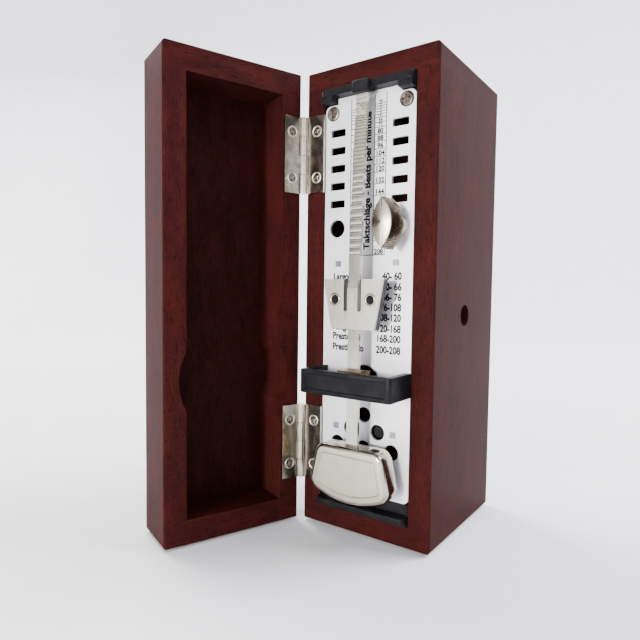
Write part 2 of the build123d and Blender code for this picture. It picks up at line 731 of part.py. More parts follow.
def second_arbor():
    """The second arbor with its pinion and wheel, as two nodes."""
    place = second_place()
    y, z = place
    great_side = gap_facing(PINION_TEETH, heading(place, WINDING))
    pinion_x = (GREAT_X[0] - 0.4, GREAT_X[1] + 0.4)
    pinion = sideways(gear_outline(PINION_TEETH, great_side), place, pinion_x)
    shaft = rod_x(SECOND_R, y, z, (-9.1, 9.1))
    toothed = gear_outline(SECOND_TEETH, heading(place, ESCAPE))
    wheel = sideways(toothed, place, SECOND_X) - rod_x(SECOND_R, y, z, (-9, 0))
    return pinion + shaft, wheel


def escape_arbor():
    """The escape arbor with its pinion, and the crown-shaped escape wheel."""
    y, z = ESCAPE
    phase = gap_facing(PINION_TEETH, heading(ESCAPE, second_place()))
    pinion_x = (SECOND_X[0] - 0.3, SECOND_X[1] + 0.3)
    pinion = sideways(gear_outline(PINION_TEETH, phase), ESCAPE, pinion_x)
    shaft = rod_x(ESCAPE_R, y, z, (-9.1, 9.1))
    low, high = CROWN_X
    crown = rod_x(CROWN_R + 0.25, y, z, CROWN_X) - rod_x(CROWN_R - 0.25, y, z, (low + 0.6, high))
    for n in range(CROWN_TEETH):
        notch = polygon([(high + 0.1, -0.9), (high + 0.1, 0.9), (high - 1.4, 0.9)])
        plane = Plane(origin=(0, FRONT + y, PAD_T + z), x_dir=(1, 0, 0), z_dir=(0, 0, 1))
        gap = extrude(plane * notch, CROWN_R + 1).rotate(
            Axis((0, FRONT + y, PAD_T + z), (1, 0, 0)), 360 * n / CROWN_TEETH
        )
        crown -= gap
    return pinion + shaft, crown - rod_x(ESCAPE_R, y, z, (-9, 0))


def pillar_places():
    """The four corners where pillars join the side plates."""
    return [(y, z) for y in (4.5, 30.5) for z in (28.0, 69.0)]


def side_plate(side):
    """One side plate with its tabs and the holes for the arbors and pillars."""
    x = SIDE_PLATE if side > 0 else (-SIDE_PLATE[1], -SIDE_PLATE[0])
    plate = block(x, SIDE_PLATE_Y, SIDE_PLATE_Z)
    through = (x[0] - 1, x[1] + 1)
    for z in TAB_Z:
        plate += tab(side, z)
    for r, place in ((WINDING_R, WINDING), (SECOND_R, second_place()), (ESCAPE_R, ESCAPE)):
        plate -= rod_x(r + FIT, *place, through)
    for place in pillar_places():
        plate -= rod_x(PILLAR_END_R, *place, through)
    if side > 0:
        plate -= rod_x(CLICK_SCREW_R, *click_place()[1], through)
    return plate


def pillars():
    """Four shouldered pillars between the side plates."""
    inner, outer = SIDE_PLATE
    return Compound([
        rod_x(PILLAR_R, *place, (-inner, inner)) + rod_x(PILLAR_END_R, *place, (-outer, outer))
        for place in pillar_places()
    ])


def rear_cock():
    """The bar between the side plates that carries the spindle's back end."""
    bar = block((-SIDE_PLATE[0], SIDE_PLATE[0]), (ARBOR_BACK - 1.4, ARBOR_BACK + 0.4), (37.2, 42.8))
    return bar - rod_y(ARBOR_END_R + FIT, 0, PIVOT_Z, (ARBOR_BACK - 2, ARBOR_BACK + 1))


def build():
    """Every node of the metronome, by name."""
    case_screws = hinge_screws(CASE_SCREW_X, -LEAF_T, 1)
    door_screws = hinge_screws(DOOR_SCREW_X, -DOOR_GAP + LEAF_T, -1)
    nodes = case_boards(case_screws)
    for name, board in door_boards(door_screws).items():
        nodes[name] = swing_open(board)
    nodes.update(hinges(case_screws, door_screws))
    nodes["case_hinge_screws"] = Compound(case_screws)
    nodes["door_hinge_screws"] = Compound([swing_open(screw) for screw in door_screws])
    nodes.update({
        "dial_plate": dial_plate(), "top_ledge": top_ledge(), "rod_catch": rod_catch(),
        "bottom_tray": bottom_tray(), "dial_screws": dial_screws(),
        "bridge": bridge(), "bridge_screws": bridge_screws(),
        "pendulum_rod": pendulum_rod(), "pendulum_arbor": pendulum_arbor(),
        "rod_clamp": rod_clamp(), "bob": bob(), "pallets": pallets(),
        "weight_face": weight_face(), "weight_body": weight_body(), "weight_rivets": weight_rivets(),
        "key_wing": key_wing(), "key_shank": key_shank(),
        "left_side_plate": side_plate(-1), "right_side_plate": side_plate(1),
        "movement_pillars": pillars(), "rear_cock": rear_cock(),
        "mainspring": mainspring(), "winding_arbor": barrel_arbor(), "ratchet_wheel": ratchet_wheel(),
    })
    nodes["great_wheel"], nodes["spring_barrel"] = barrel()
    nodes["click"], nodes["click_screw"], nodes["click_spring"] = click_parts()
    nodes["second_arbor"], nodes["second_wheel"] = second_arbor()
    nodes["escape_arbor"], nodes["escape_wheel"] = escape_arbor()
    return nodes


os.makedirs("parts", exist_ok=True)
for node, shape in build().items():
    export_step(shape, f"parts/{node}.step")
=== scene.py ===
"""Looks of a small wooden-cased pendulum metronome that stands open.

Finishes, the finer pieces, the light and the view.  Metres, +Z up, -Y out of the dial and +X to
the right of the dial, as in the frame.  Sizes are written in millimetres and turned to metres
where they are used.  Places on the metronome are given as x across the case, y back from the
case's front face and z up from the case's underside.
"""

import json
import logging
import math
from collections.abc import Iterable, Mapping, Sequence
from dataclasses import dataclass
from enum import Enum
from typing import Any

import bmesh
import bpy
from mathutils import Matrix, Vector


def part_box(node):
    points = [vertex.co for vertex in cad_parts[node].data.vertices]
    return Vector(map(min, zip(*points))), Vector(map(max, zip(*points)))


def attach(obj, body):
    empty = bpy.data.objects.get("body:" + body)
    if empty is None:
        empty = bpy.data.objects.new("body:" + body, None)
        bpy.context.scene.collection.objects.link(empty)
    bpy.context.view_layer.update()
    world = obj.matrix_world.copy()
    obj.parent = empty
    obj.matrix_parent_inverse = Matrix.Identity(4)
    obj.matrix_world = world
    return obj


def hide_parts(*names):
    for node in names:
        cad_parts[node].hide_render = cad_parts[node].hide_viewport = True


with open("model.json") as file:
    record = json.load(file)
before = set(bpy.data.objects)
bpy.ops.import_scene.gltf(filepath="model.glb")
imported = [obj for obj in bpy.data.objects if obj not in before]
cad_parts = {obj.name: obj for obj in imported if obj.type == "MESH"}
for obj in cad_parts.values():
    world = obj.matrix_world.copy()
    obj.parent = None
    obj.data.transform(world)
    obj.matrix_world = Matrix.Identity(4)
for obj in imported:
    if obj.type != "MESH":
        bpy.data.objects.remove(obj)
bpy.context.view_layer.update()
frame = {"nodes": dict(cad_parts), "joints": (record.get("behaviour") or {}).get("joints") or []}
LOG = logging.getLogger("metronome")
MM = 0.001
CASE_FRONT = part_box("case_top")[0].y
CASE_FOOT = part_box("case_bottom")[0].z
PLATE_FACE = (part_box("dial_plate")[0].y - CASE_FRONT) / MM
DOOR_SWING = next(joint for joint in frame["joints"] if joint["name"] == "door_swing")
FULL_TURN = 2 * math.pi
QUARTER_TURN = math.pi / 2
TOUCH = 1e-7  # two places nearer than this, in metres, are the same


def at(x: float, y: float, z: float) -> Vector:
    """A place on the metronome, from millimetres to the frame's metres."""
    return Vector((x * MM, CASE_FRONT + y * MM, CASE_FOOT + z * MM))


def linear(hex_colour: str) -> tuple[float, float, float, float]:
    """Turns an sRGB colour to the linear values that a shader takes.

    Args:
        hex_colour: Six digits after a hash sign.

    Returns:
        Red, green, blue and an alpha of 1.
    """
    parts = [int(hex_colour[n : n + 2], 16) / 255 for n in (1, 3, 5)]
    red, green, blue = (
        part / 12.92 if part <= 0.04045 else ((part + 0.055) / 1.055) ** 2.4 for part in parts
    )
    return red, green, blue, 1.0


def add_node(
    tree: bpy.types.NodeTree,
    kind: str,
    inputs: Mapping[str | int, Any] | None = None,
    **settings: Any,
) -> bpy.types.Node:
    """Adds a node with its settings, values and links.

    Args:
        tree: The material's node tree.
        kind: The node's type.
        inputs: What goes into its sockets: a number or colour is set, a socket is linked.
        **settings: The node's own properties.

    Returns:
        The new node.
    """
    node = tree.nodes.new(kind)
    for name, value in settings.items():
        setattr(node, name, value)
    for key, value in (inputs or {}).items():
        if isinstance(value, bpy.types.NodeSocket):
            tree.links.new(value, node.inputs[key])
        else:
            node.inputs[key].default_value = value
    return node


# the sockets of a colour Mix node
MIX_AMOUNT, MIX_FIRST, MIX_SECOND, MIX_COLOUR = 0, 6, 7, 2


class Grain(Enum):
    """The way a board's grain or a sheet's brushing runs."""

    ACROSS = 0
    UP = 2


@dataclass
class Coat:
    """A material that is being made: its nodes, its shader and the piece's own coordinates."""

    tree: bpy.types.NodeTree
    shader: bpy.types.Node
    place: bpy.types.NodeSocket

    def pattern(
        self,
        size: Sequence[float],
        keep: tuple[float, float] = (0.0, 1.0),
        turned: float = 0.0,
        detail: float = 2.0,
    ) -> bpy.types.NodeSocket:
        """Cloudy variation with a real size along each axis.

        Args:
            size: The size of one patch along X, Y and Z, in millimetres.
            keep: The part of the noise that is stretched over 0 to 1.
            turned: How far the pattern is turned about Z, in radians.
            detail: How much finer variation is added.

        Returns:
            A value from 0 to 1.
        """
        scaled = add_node(
            self.tree,
            "ShaderNodeMapping",
            {"Vector": self.place, "Rotation": (0, 0, turned), "Scale": [s * MM for s in size]},
            vector_type="TEXTURE",
        )
        noise = add_node(
            self.tree,
            "ShaderNodeTexNoise",
            {"Vector": scaled.outputs[0], "Scale": 1.0, "Detail": detail},
        )
        return self.step(noise.outputs[0], *keep)

    def step(self, value: bpy.types.NodeSocket, low: float, high: float) -> bpy.types.NodeSocket:
        """A value that is 0 up to one level and 1 from another."""
        limits = {"Value": value, "From Min": low, "From Max": high}
        return add_node(self.tree, "ShaderNodeMapRange", limits).outputs[0]

    def span(self, value: bpy.types.NodeSocket, low: float, high: float) -> bpy.types.NodeSocket:
        """A value of 0 to 1, stretched from one level to another."""
        limits = {"Value": value, "To Min": low, "To Max": high}
        return add_node(self.tree, "ShaderNodeMapRange", limits).outputs[0]

    def blend(
        self,
        amount: bpy.types.NodeSocket,
        low: bpy.types.NodeSocket | str,
        high: str,
    ) -> bpy.types.NodeSocket:
        """Goes from one colour to another.

        Args:
            amount: 0 gives the first colour and 1 the second.
            low: The first colour, or a socket that gives it.
            high: The second colour.

        Returns:
            The mixed colour.
        """
        first = linear(low) if isinstance(low, str) else low
        inputs = {MIX_AMOUNT: amount, MIX_FIRST: first, MIX_SECOND: linear(high)}
        return add_node(self.tree, "ShaderNodeMix", inputs, data_type="RGBA").outputs[MIX_COLOUR]

    def paint(self, tone: bpy.types.NodeSocket) -> None:
        """Gives the surface its colour."""
        self.tree.links.new(tone, self.shader.inputs["Base Color"])

    def gloss(self, value: bpy.types.NodeSocket, low: float, high: float) -> None:
        """Lets the roughness go from one level to another."""
        self.tree.links.new(self.span(value, low, high), self.shader.inputs["Roughness"])

    def relief(self, height: bpy.types.NodeSocket, depth: float, strength: float) -> None:
        """Gives the surface a fine relief.

        Args:
            height: The relief, from 0 to 1.
            depth: What a height of 1 is, in millimetres.
            strength: How much of it is kept.
        """
        values = {"Strength": strength, "Distance": depth * MM, "Height": height}
        bump = add_node(self.tree, "ShaderNodeBump", values)
        self.tree.links.new(bump.outputs[0], self.shader.inputs["Normal"])


@dataclass(frozen=True)
class Finish:
    """A surface: its name, its colour, and how metallic and how rough it is."""

    name: str
    colour: str
    metallic: float = 0.0
    roughness: float = 0.5

    def lay(self, coat: Coat) -> None:
        """Adds nothing, because a plain finish is the same all over."""

    def make(self) -> bpy.types.Material:
        """Makes the material.

        Returns:
            The finished material.
        """
        material = bpy.data.materials.new(self.name)
        material.use_nodes = True
        tree = material.node_tree
        shader = tree.nodes["Principled BSDF"]
        shader.inputs["Base Color"].default_value = linear(self.colour)
        shader.inputs["Metallic"].default_value = self.metallic
        shader.inputs["Roughness"].default_value = self.roughness
        place = add_node(tree, "ShaderNodeTexCoord").outputs["Object"]
        self.lay(Coat(tree, shader, place))
        return material


@dataclass(frozen=True)
class StainedMahogany(Finish):
    """Fine-pored hardwood, sanded, stained a dark red and sprayed with thin satin lacquer."""

    name: str = "stained_mahogany"
    colour: str = "#260e0d"
    roughness: float = 0.42
    light: str = "#321311"
    pore: str = "#120606"
    grain: Grain = Grain.UP
    turned: float = 0.0
    hollow_depth: float | None = None

    def along(self, across: float, length: float) -> tuple[float, float, float]:
        """The size of a patch that is stretched along the grain."""
        size = [across, across, across]
        size[self.grain.value] = length
        return size[0], size[1], size[2]

    def in_hollow(self, coat: Coat, hollow_depth: float) -> bpy.types.NodeSocket:
        """Marks the side of the door's panel that faces into the hollow, which gets painted shade.

        Args:
            coat: The material that is being made.
            hollow_depth: The panel's inner face, back from the hinge axis when the door is shut.

        Returns:
            1 in the hollow and 0 outside.
        """
        hinge_x, hinge_y, _ = DOOR_SWING["pos_m"]
        closed = add_node(
            coat.tree,
            "ShaderNodeMapping",
            {
                "Vector": coat.place,
                "Location": (hinge_x, hinge_y, 0),
                "Rotation": (0, 0, self.turned),
            },
            vector_type="TEXTURE",
        )
        depth = add_node(coat.tree, "ShaderNodeSeparateXYZ", {0: closed.outputs[0]}).outputs["Y"]
        return coat.step(depth, (hollow_depth - 0.2) * MM, (hollow_depth - 0.05) * MM)

    def lay(self, coat: Coat) -> None:
        """Lays the stain, the pores, the lacquer and the painted shade in the door's hollow.

        Args:
            coat: The material that is being made.
        """
        # broad clouds where the stain took more or less, which keep a board from looking painted
        figure = coat.pattern(self.along(3.2, 15.0), (0.32, 0.68), self.turned, 4.0)
        wood = coat.blend(figure, self.colour, self.light)
        # warmer patches about a finger wide
        patch = coat.pattern(self.along(9.0, 17.0), (0.52, 0.78), self.turned, 3.0)
        wood = coat.blend(coat.span(patch, 0.0, 0.45), wood, "#40140f")
        # open pores: short dark flecks along the grain, 0.15 mm wide and drawn twice as wide
        flecks = coat.pattern(self.along(0.32, 2.4), (0.56, 0.72), self.turned, 1.0)
        wood = coat.blend(coat.span(flecks, 0.0, 0.75), wood, self.pore)
        # pale specks where the lacquer catches the light on a raised fibre
        fibres = coat.pattern(self.along(0.38, 0.9), (0.62, 0.8), self.turned, 1.0)
        wood = coat.blend(coat.span(fibres, 0.0, 0.3), wood, "#5a2c28")
        # painted shade: the side of the panel inside the door's hollow is darkened to near black,
        # as shade falls there
        if self.hollow_depth is not None:
            inside = self.in_hollow(coat, self.hollow_depth)
            wood = coat.blend(coat.span(inside, 0.0, 0.5), wood, "#0a0404")
        coat.paint(wood)
        # the lacquer is thin, so its gloss breaks up over the pores
        coat.gloss(fibres, self.roughness, self.roughness + 0.18)
        coat.shader.inputs["Specular IOR Level"].default_value = 0.015
        relief = coat.pattern(self.along(0.4, 2.0), (0.3, 0.7), self.turned, 2.0)
        coat.relief(relief, 0.05, 0.4)


@dataclass(frozen=True)
class SilveredPlate(Finish):
    """Thin steel sheet, lacquered satin silver: an even, pale, slightly cool sheen."""

    name: str = "silvered_plate"
    colour: str = "#d5d6dc"
    metallic: float = 0.8
    roughness: float = 0.46

    def lay(self, coat: Coat) -> None:
        """Lays the lacquer and its flakes.

        Args:
            coat: The material that is being made.
        """
        cloud = coat.pattern((9.0, 9.0, 14.0), (0.3, 0.7), detail=3.0)
        coat.paint(coat.blend(cloud, self.colour, "#e3e3e6"))
        # the metal flakes in the lacquer, drawn 0.25 mm across so that they show
        flakes = coat.pattern((0.25, 0.25, 0.25), (0.3, 0.7))
        coat.gloss(flakes, self.roughness - 0.04, self.roughness + 0.08)
        coat.relief(flakes, 0.012, 0.25)


@dataclass(frozen=True)
class NickelPlate(Finish):
    """Bright nickel plating on pressed steel: warm, mirror-like, a little uneven with handling."""

    name: str = "nickel_plate"
    colour: str = "#b9b2a2"
    metallic: float = 1.0
    roughness: float = 0.12

    def lay(self, coat: Coat) -> None:
        """Lays the plating and what handling did to it.

        Args:
            coat: The material that is being made.
        """
        # thumbed and rubbed patches, about 2 mm wide, are duller than the rest
        patches = coat.pattern((1.8, 1.8, 2.6), (0.35, 0.7), detail=4.0)
        coat.gloss(patches, self.roughness, self.roughness + 0.1)
        coat.paint(coat.blend(patches, self.colour, "#958d7d"))
        # the pressed sheet is not quite flat, so what it mirrors wavers
        waves = coat.pattern((2.2, 2.2, 3.0), detail=1.0)
        coat.relief(waves, 0.02, 0.2)


@dataclass(frozen=True)
class BrushedSteel(Finish):
    """Steel strip, brushed one way and flash-plated: fine lines and a soft warm-grey glow."""

    name: str = "brushed_steel"
    colour: str = "#cbc7bd"
    metallic: float = 1.0
    roughness: float = 0.3
    grain: Grain = Grain.UP

    def lay(self, coat: Coat) -> None:
        """Lays the brushing and the clouds of the plating.

        Args:
            coat: The material that is being made.
        """
        size = [0.16, 0.16, 0.16]
        size[self.grain.value] = 7.0
        lines = coat.pattern(size, (0.25, 0.75))
        clouds = coat.pattern((2.5, 2.5, 3.5), (0.3, 0.7), detail=3.0)
        tone = coat.blend(lines, self.colour, "#b3afa4")
        coat.paint(coat.blend(coat.span(clouds, 0.0, 0.35), tone, "#9e998c"))
        coat.gloss(lines, self.roughness - 0.05, self.roughness + 0.12)
        coat.relief(lines, 0.01, 0.3)


@dataclass(frozen=True)
class TurnedNickel(Finish):
    """Nickel-plated face off the lathe: fine rings round the middle that fan the light out."""

    name: str = "turned_nickel"
    colour: str = "#aca497"
    metallic: float = 1.0
    roughness: float = 0.26
    middle: tuple[float, float, float] = (0.0, 0.0, 0.0)
    pitch: float = 0.42

    def lay(self, coat: Coat) -> None:
        """Lays the rings and rubs them a little.

        Args:
            coat: The material that is being made.
        """
        own = add_node(
            coat.tree,
            "ShaderNodeMapping",
            {"Vector": coat.place, "Location": self.middle, "Scale": (MM, MM, MM)},
            vector_type="TEXTURE",
        ).outputs[0]
        # tool marks: rings 0.4 mm apart, wide enough to show
        rings = add_node(
            coat.tree,
            "ShaderNodeTexWave",
            {"Vector": own, "Scale": FULL_TURN / (20 * self.pitch), "Distortion": 0.6},
            wave_type="RINGS",
            rings_direction="Y",
        ).outputs["Fac"]
        tangent = add_node(
            coat.tree,
            "ShaderNodeVectorMath",
            {0: own, 1: (0.0, 1.0, 0.0)},
            operation="CROSS_PRODUCT",
        ).outputs[0]
        coat.tree.links.new(tangent, coat.shader.inputs["Tangent"])
        coat.shader.inputs["Anisotropic"].default_value = 0.75
        rub = coat.pattern((1.5, 1.5, 1.5), (0.35, 0.7), detail=3.0)
        coat.paint(coat.blend(rub, self.colour, "#a89c8b"))
        coat.relief(rings, 0.02, 0.35)


@dataclass(frozen=True)
class DarkZinc(Finish):
    """Cast zinc with a dull dark plating: charcoal with a faint sheen and a grainy skin."""

    name: str = "dark_zinc"
    colour: str = "#2c2a2e"
    metallic: float = 0.4
    roughness: float = 0.42

    def lay(self, coat: Coat) -> None:
        """Lays the grainy skin.

        Args:
            coat: The material that is being made.
        """
        skin = coat.pattern((0.5, 0.5, 0.5), (0.3, 0.7), detail=3.0)
        coat.paint(coat.blend(skin, self.colour, "#1d1b1f"))
        coat.relief(skin, 0.03, 0.35)


@dataclass(frozen=True)
class MouldedAbs(Finish):
    """Black ABS from a finely spark-eroded mould: soft grey highlights on a matt black."""

    name: str = "moulded_abs"
    colour: str = "#111113"
    roughness: float = 0.36

    def lay(self, coat: Coat) -> None:
        """Lays the mould's skin and some wear.

        Args:
            coat: The material that is being made.
        """
        # the mould's texture, 0.1 mm and drawn 0.3 mm across
        skin = coat.pattern((0.3, 0.3, 0.3), (0.3, 0.7))
        wear = coat.pattern((3.0, 3.0, 3.0), (0.45, 0.75), detail=4.0)
        coat.paint(coat.blend(wear, self.colour, "#1d1d20"))
        coat.gloss(wear, self.roughness, self.roughness + 0.14)
        coat.shader.inputs["Specular IOR Level"].default_value = 0.07
        coat.relief(skin, 0.03, 0.35)


@dataclass(frozen=True)
class PrintedInk(Finish):
    """Screen-printed black enamel: dense, slightly glossy, thinner in tiny spots."""

    name: str = "printed_ink"
    colour: str = "#0c0c0e"
    roughness: float = 0.45

    def lay(self, coat: Coat) -> None:
        """Lays the ink and its thin spots.

        Args:
            coat: The material that is being made.
        """
        thin = coat.pattern((0.3, 0.3, 0.3), (0.6, 0.85))
        coat.paint(coat.blend(thin, self.colour, "#161618"))
        coat.shader.inputs["Specular IOR Level"].default_value = 0.15


@dataclass(frozen=True)
class RolledBrass(Finish):
    """Rolled clock brass under clear lacquer: yellow, with the faint lines of the rollers."""

    name: str = "rolled_brass"
    colour: str = "#c9a35a"
    metallic: float = 1.0
    roughness: float = 0.26

    def lay(self, coat: Coat) -> None:
        """Lays the rollers' lines and the tarnish.

        Args:
            coat: The material that is being made.
        """
        lines = coat.pattern((0.2, 0.2, 4.0), (0.25, 0.75))
        tarnish = coat.pattern((3.0, 3.0, 3.0), (0.4, 0.75), detail=4.0)
        coat.paint(coat.blend(tarnish, self.colour, "#9a7436"))
        coat.gloss(lines, self.roughness, self.roughness + 0.12)


@dataclass(frozen=True)
class MachinedSteel(Finish):
    """Plain turned and milled steel: grey, fairly bright, with short tool marks."""

    name: str = "machined_steel"
    colour: str = "#9c9ba0"
    metallic: float = 1.0
    roughness: float = 0.32

    def lay(self, coat: Coat) -> None:
        """Lays the tool marks.

        Args:
            coat: The material that is being made.
        """
        marks = coat.pattern((0.9, 0.25, 0.25), (0.3, 0.7))
        coat.paint(coat.blend(marks, self.colour, "#77767b"))
        coat.relief(marks, 0.01, 0.3)


@dataclass(frozen=True)
class PressedFelt(Finish):
    """Pressed wool felt, dark green: matt, with a short soft nap."""

    name: str = "pressed_felt"
    colour: str = "#1d2a22"
    roughness: float = 0.95

    def lay(self, coat: Coat) -> None:
        """Lays the nap.

        Args:
            coat: The material that is being made.
        """
        nap = coat.pattern((0.25, 0.25, 0.25), (0.25, 0.75), detail=4.0)
        coat.paint(coat.blend(nap, self.colour, "#334036"))
        coat.shader.inputs["Sheen Weight"].default_value = 0.4
        coat.shader.inputs["Sheen Roughness"].default_value = 0.6
        coat.relief(nap, 0.15, 0.7)


@dataclass(frozen=True)
class PaperSweep(Finish):
    """Matt white studio paper: even and pale."""

    name: str = "paper_sweep"
    colour: str = "#eeeef1"
    roughness: float = 0.75

    def lay(self, coat: Coat) -> None:
        """Lays the paper's tooth.

        Args:
            coat: The material that is being made.
        """
        tooth = coat.pattern((18.0, 18.0, 18.0), (0.3, 0.7), detail=3.0)
        coat.paint(coat.blend(tooth, self.colour, "#eaeaee"))


def dress(nodes: Iterable[str], material: bpy.types.Material) -> None:
    """Gives the frame's nodes a finish.

    Args:
        nodes: The nodes' names.
        material: What they get.
    """
    for name in nodes:
        mesh = frame["nodes"][name].data
        mesh.materials.clear()
        mesh.materials.append(material)


def made(
    bm: bmesh.types.BMesh, name: str, materials: Sequence[bpy.types.Material]
) -> bpy.types.Object:
    """Turns a bmesh to an object with smooth faces.

    Args:
        bm: The shape, in the frame's metres.
        name: The object's name.
        materials: Its finishes, in the order of the faces' indices.

    Returns:
        The new object.
    """
    bmesh.ops.recalc_face_normals(bm, faces=bm.faces)
    mesh = bpy.data.meshes.new(name)
    bm.to_mesh(mesh)
    bm.free()
    mesh.shade_smooth()
    for material in materials:
        mesh.materials.append(material)
    thing = bpy.data.objects.new(name, mesh)
    bpy.context.scene.collection.objects.link(thing)
    return thing


def finish_piece(
    bm: bmesh.types.BMesh,
    name: str,
    body: str,
    materials: Sequence[bpy.types.Material],
    smooth: float = 38.0,
) -> bpy.types.Object:
    """Turns a bmesh to a piece that rides on a body.

    Args:
        bm: The shape, in the frame's metres.
        name: The piece's name.
        body: The body it moves with.
        materials: Its finishes, in the order of the faces' indices.
        smooth: Edges flatter than this many degrees are shaded smooth.

    Returns:
        The new piece.
    """
    piece = made(bm, name, materials)
    piece.data.set_sharp_from_angle(angle=math.radians(smooth))
    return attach(piece, body)


def prism(corners: Sequence[Vector], along: Vector) -> bmesh.types.BMesh:
    """A closed outline made solid.

    Args:
        corners: The places of the outline's corners.
        along: Which way and how far it goes.

    Returns:
        The solid.
    """
    bm = bmesh.new()
    face = bm.faces.new([bm.verts.new(corner) for corner in corners])
    grown = bmesh.ops.extrude_face_region(bm, geom=[face])
    moved = [v for v in grown["geom"] if isinstance(v, bmesh.types.BMVert)]
    bmesh.ops.translate(bm, verts=moved, vec=along)
    bmesh.ops.recalc_face_normals(bm, faces=bm.faces)
    return bm


def slab(points: Sequence[tuple[float, float]], front: float, back: float) -> bmesh.types.BMesh:
    """An outline in x and z, made solid from its back to its front."""
    return prism([at(x, back, z) for x, z in points], Vector((0, (front - back) * MM, 0)))


def lathe(
    profile: Sequence[Vector], middle: Vector, axis: Vector, steps: int, merge: float
) -> bmesh.types.BMesh:
    """A shape that is turned about an axis.

    Args:
        profile: The places of the points that are turned.
        middle: A point on the axis.
        axis: The way the axis runs.
        steps: How many sides the shape has.
        merge: Points nearer than this, in millimetres, become one.

    Returns:
        The shape.
    """
    bm = bmesh.new()
    verts = [bm.verts.new(point) for point in profile]
    edges = [bm.edges.new(pair) for pair in zip(verts, verts[1:])]
    bmesh.ops.spin(
        bm,
        geom=verts + edges,
        cent=middle,
        axis=axis,
        angle=FULL_TURN,
        steps=steps,
        use_merge=True,
    )
    bmesh.ops.remove_doubles(bm, verts=bm.verts, dist=merge * MM)
    return bm


def spun(
    profile: Sequence[tuple[float, float]], x: float, z: float, steps: int = 48
) -> bmesh.types.BMesh:
    """A turned shape about an axis along Y.

    Args:
        profile: Its outline from the rim to the middle, as radius and y.
        x: Where the axis stands.
        z: Where the axis stands.
        steps: How many sides it has.

    Returns:
        The shape.
    """
    points = [at(x + radius, y, z) for radius, y in profile]
    return lathe(points, at(x, 0, z), Vector((0, 1, 0)), steps, 0.002)


def soften(
    bm: bmesh.types.BMesh, edges: Iterable[bmesh.types.BMEdge], width: float, segments: int
) -> None:
    """Rounds edges off.

    Args:
        bm: The shape.
        edges: The edges.
        width: How wide the rounding is, in millimetres.
        segments: How many steps it has.
    """
    bmesh.ops.bevel(
        bm,
        geom=list(edges),
        offset=width * MM,
        offset_type="OFFSET",
        segments=segments,
        profile=0.5,
        affect="EDGES",
        clamp_overlap=True,
        material=-1,
    )


def inset(
    bm: bmesh.types.BMesh, face: bmesh.types.BMFace, width: float, rise: float = 0.0
) -> None:
    """Frames a face with a border.

    Args:
        bm: The shape.
        face: The face, which stays in the middle.
        width: How wide the border is, in millimetres.
        rise: How far the face is lifted out, in millimetres.
    """
    bmesh.ops.inset_region(
        bm, faces=[face], thickness=width * MM, depth=rise * MM, use_even_offset=True
    )


def flat_face(bm: bmesh.types.BMesh, sense: int = -1) -> bmesh.types.BMFace:
    """The largest face that looks out of the dial, or back into the case for a sense of 1."""
    return max((f for f in bm.faces if f.normal.y * sense > 0.99), key=lambda f: f.calc_area())


def reach_along(edge: bmesh.types.BMEdge, axis: int) -> float:
    """How far an edge goes along an axis, in metres."""
    return abs(edge.verts[0].co[axis] - edge.verts[1].co[axis])


def arc(
    middle: tuple[float, float], radius: float, start: float, end: float, steps: int
) -> list[tuple[float, float]]:
    """Points along an arc.

    Args:
        middle: Its centre, as x and z.
        radius: Its radius.
        start: The angle of the first point, in degrees from +x.
        end: The angle of the last point.
        steps: How many parts it has.

    Returns:
        The points, both ends included.
    """
    angles = [math.radians(start + (end - start) * n / steps) for n in range(steps + 1)]
    return [(middle[0] + radius * math.cos(a), middle[1] + radius * math.sin(a)) for a in angles]


@dataclass
class Eased:
    """Pressed and moulded parts whose sharp edges are eased, as tools and moulds leave them."""

    turned_more_than: float = 50.0

    def is_sharp(self, edge: bmesh.types.BMEdge) -> bool:
        """Whether an edge is an outward one that needs easing."""
        least = math.radians(self.turned_more_than)
        return len(edge.link_faces) == 2 and edge.is_convex and edge.calc_face_angle(0.0) > least

    def build(
        self, node: str, body: str, name: str, slot: str, material: bpy.types.Material, width: float
    ) -> bpy.types.Object:
        """Makes the eased piece that stands for a node.

        Args:
            node: The node that it replaces.
            body: The body it moves with.
            name: Its name.
            slot: The record's slot for its finish; not used.
            material: Its finish.
            width: How wide the easing is, in millimetres.

        Returns:
            The new piece.
        """
        bm = bmesh.new()
        bm.from_mesh(frame["nodes"][node].data)
        bmesh.ops.remove_doubles(bm, verts=bm.verts, dist=0.004 * MM)
        bmesh.ops.dissolve_limit(
            bm, angle_limit=math.radians(1.0), verts=bm.verts[:], edges=bm.edges[:]
        )
        soften(bm, [edge for edge in bm.edges if self.is_sharp(edge)], width, 2)
        piece = finish_piece(bm, name, body, [material])
        # flat faces stay flat and the easing alone carries the turn from one to the next
        piece.modifiers.new("even_shading", "WEIGHTED_NORMAL").keep_sharp = True
        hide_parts(node)
        LOG.info("%s eased by %.2f mm", name, width)
        return piece


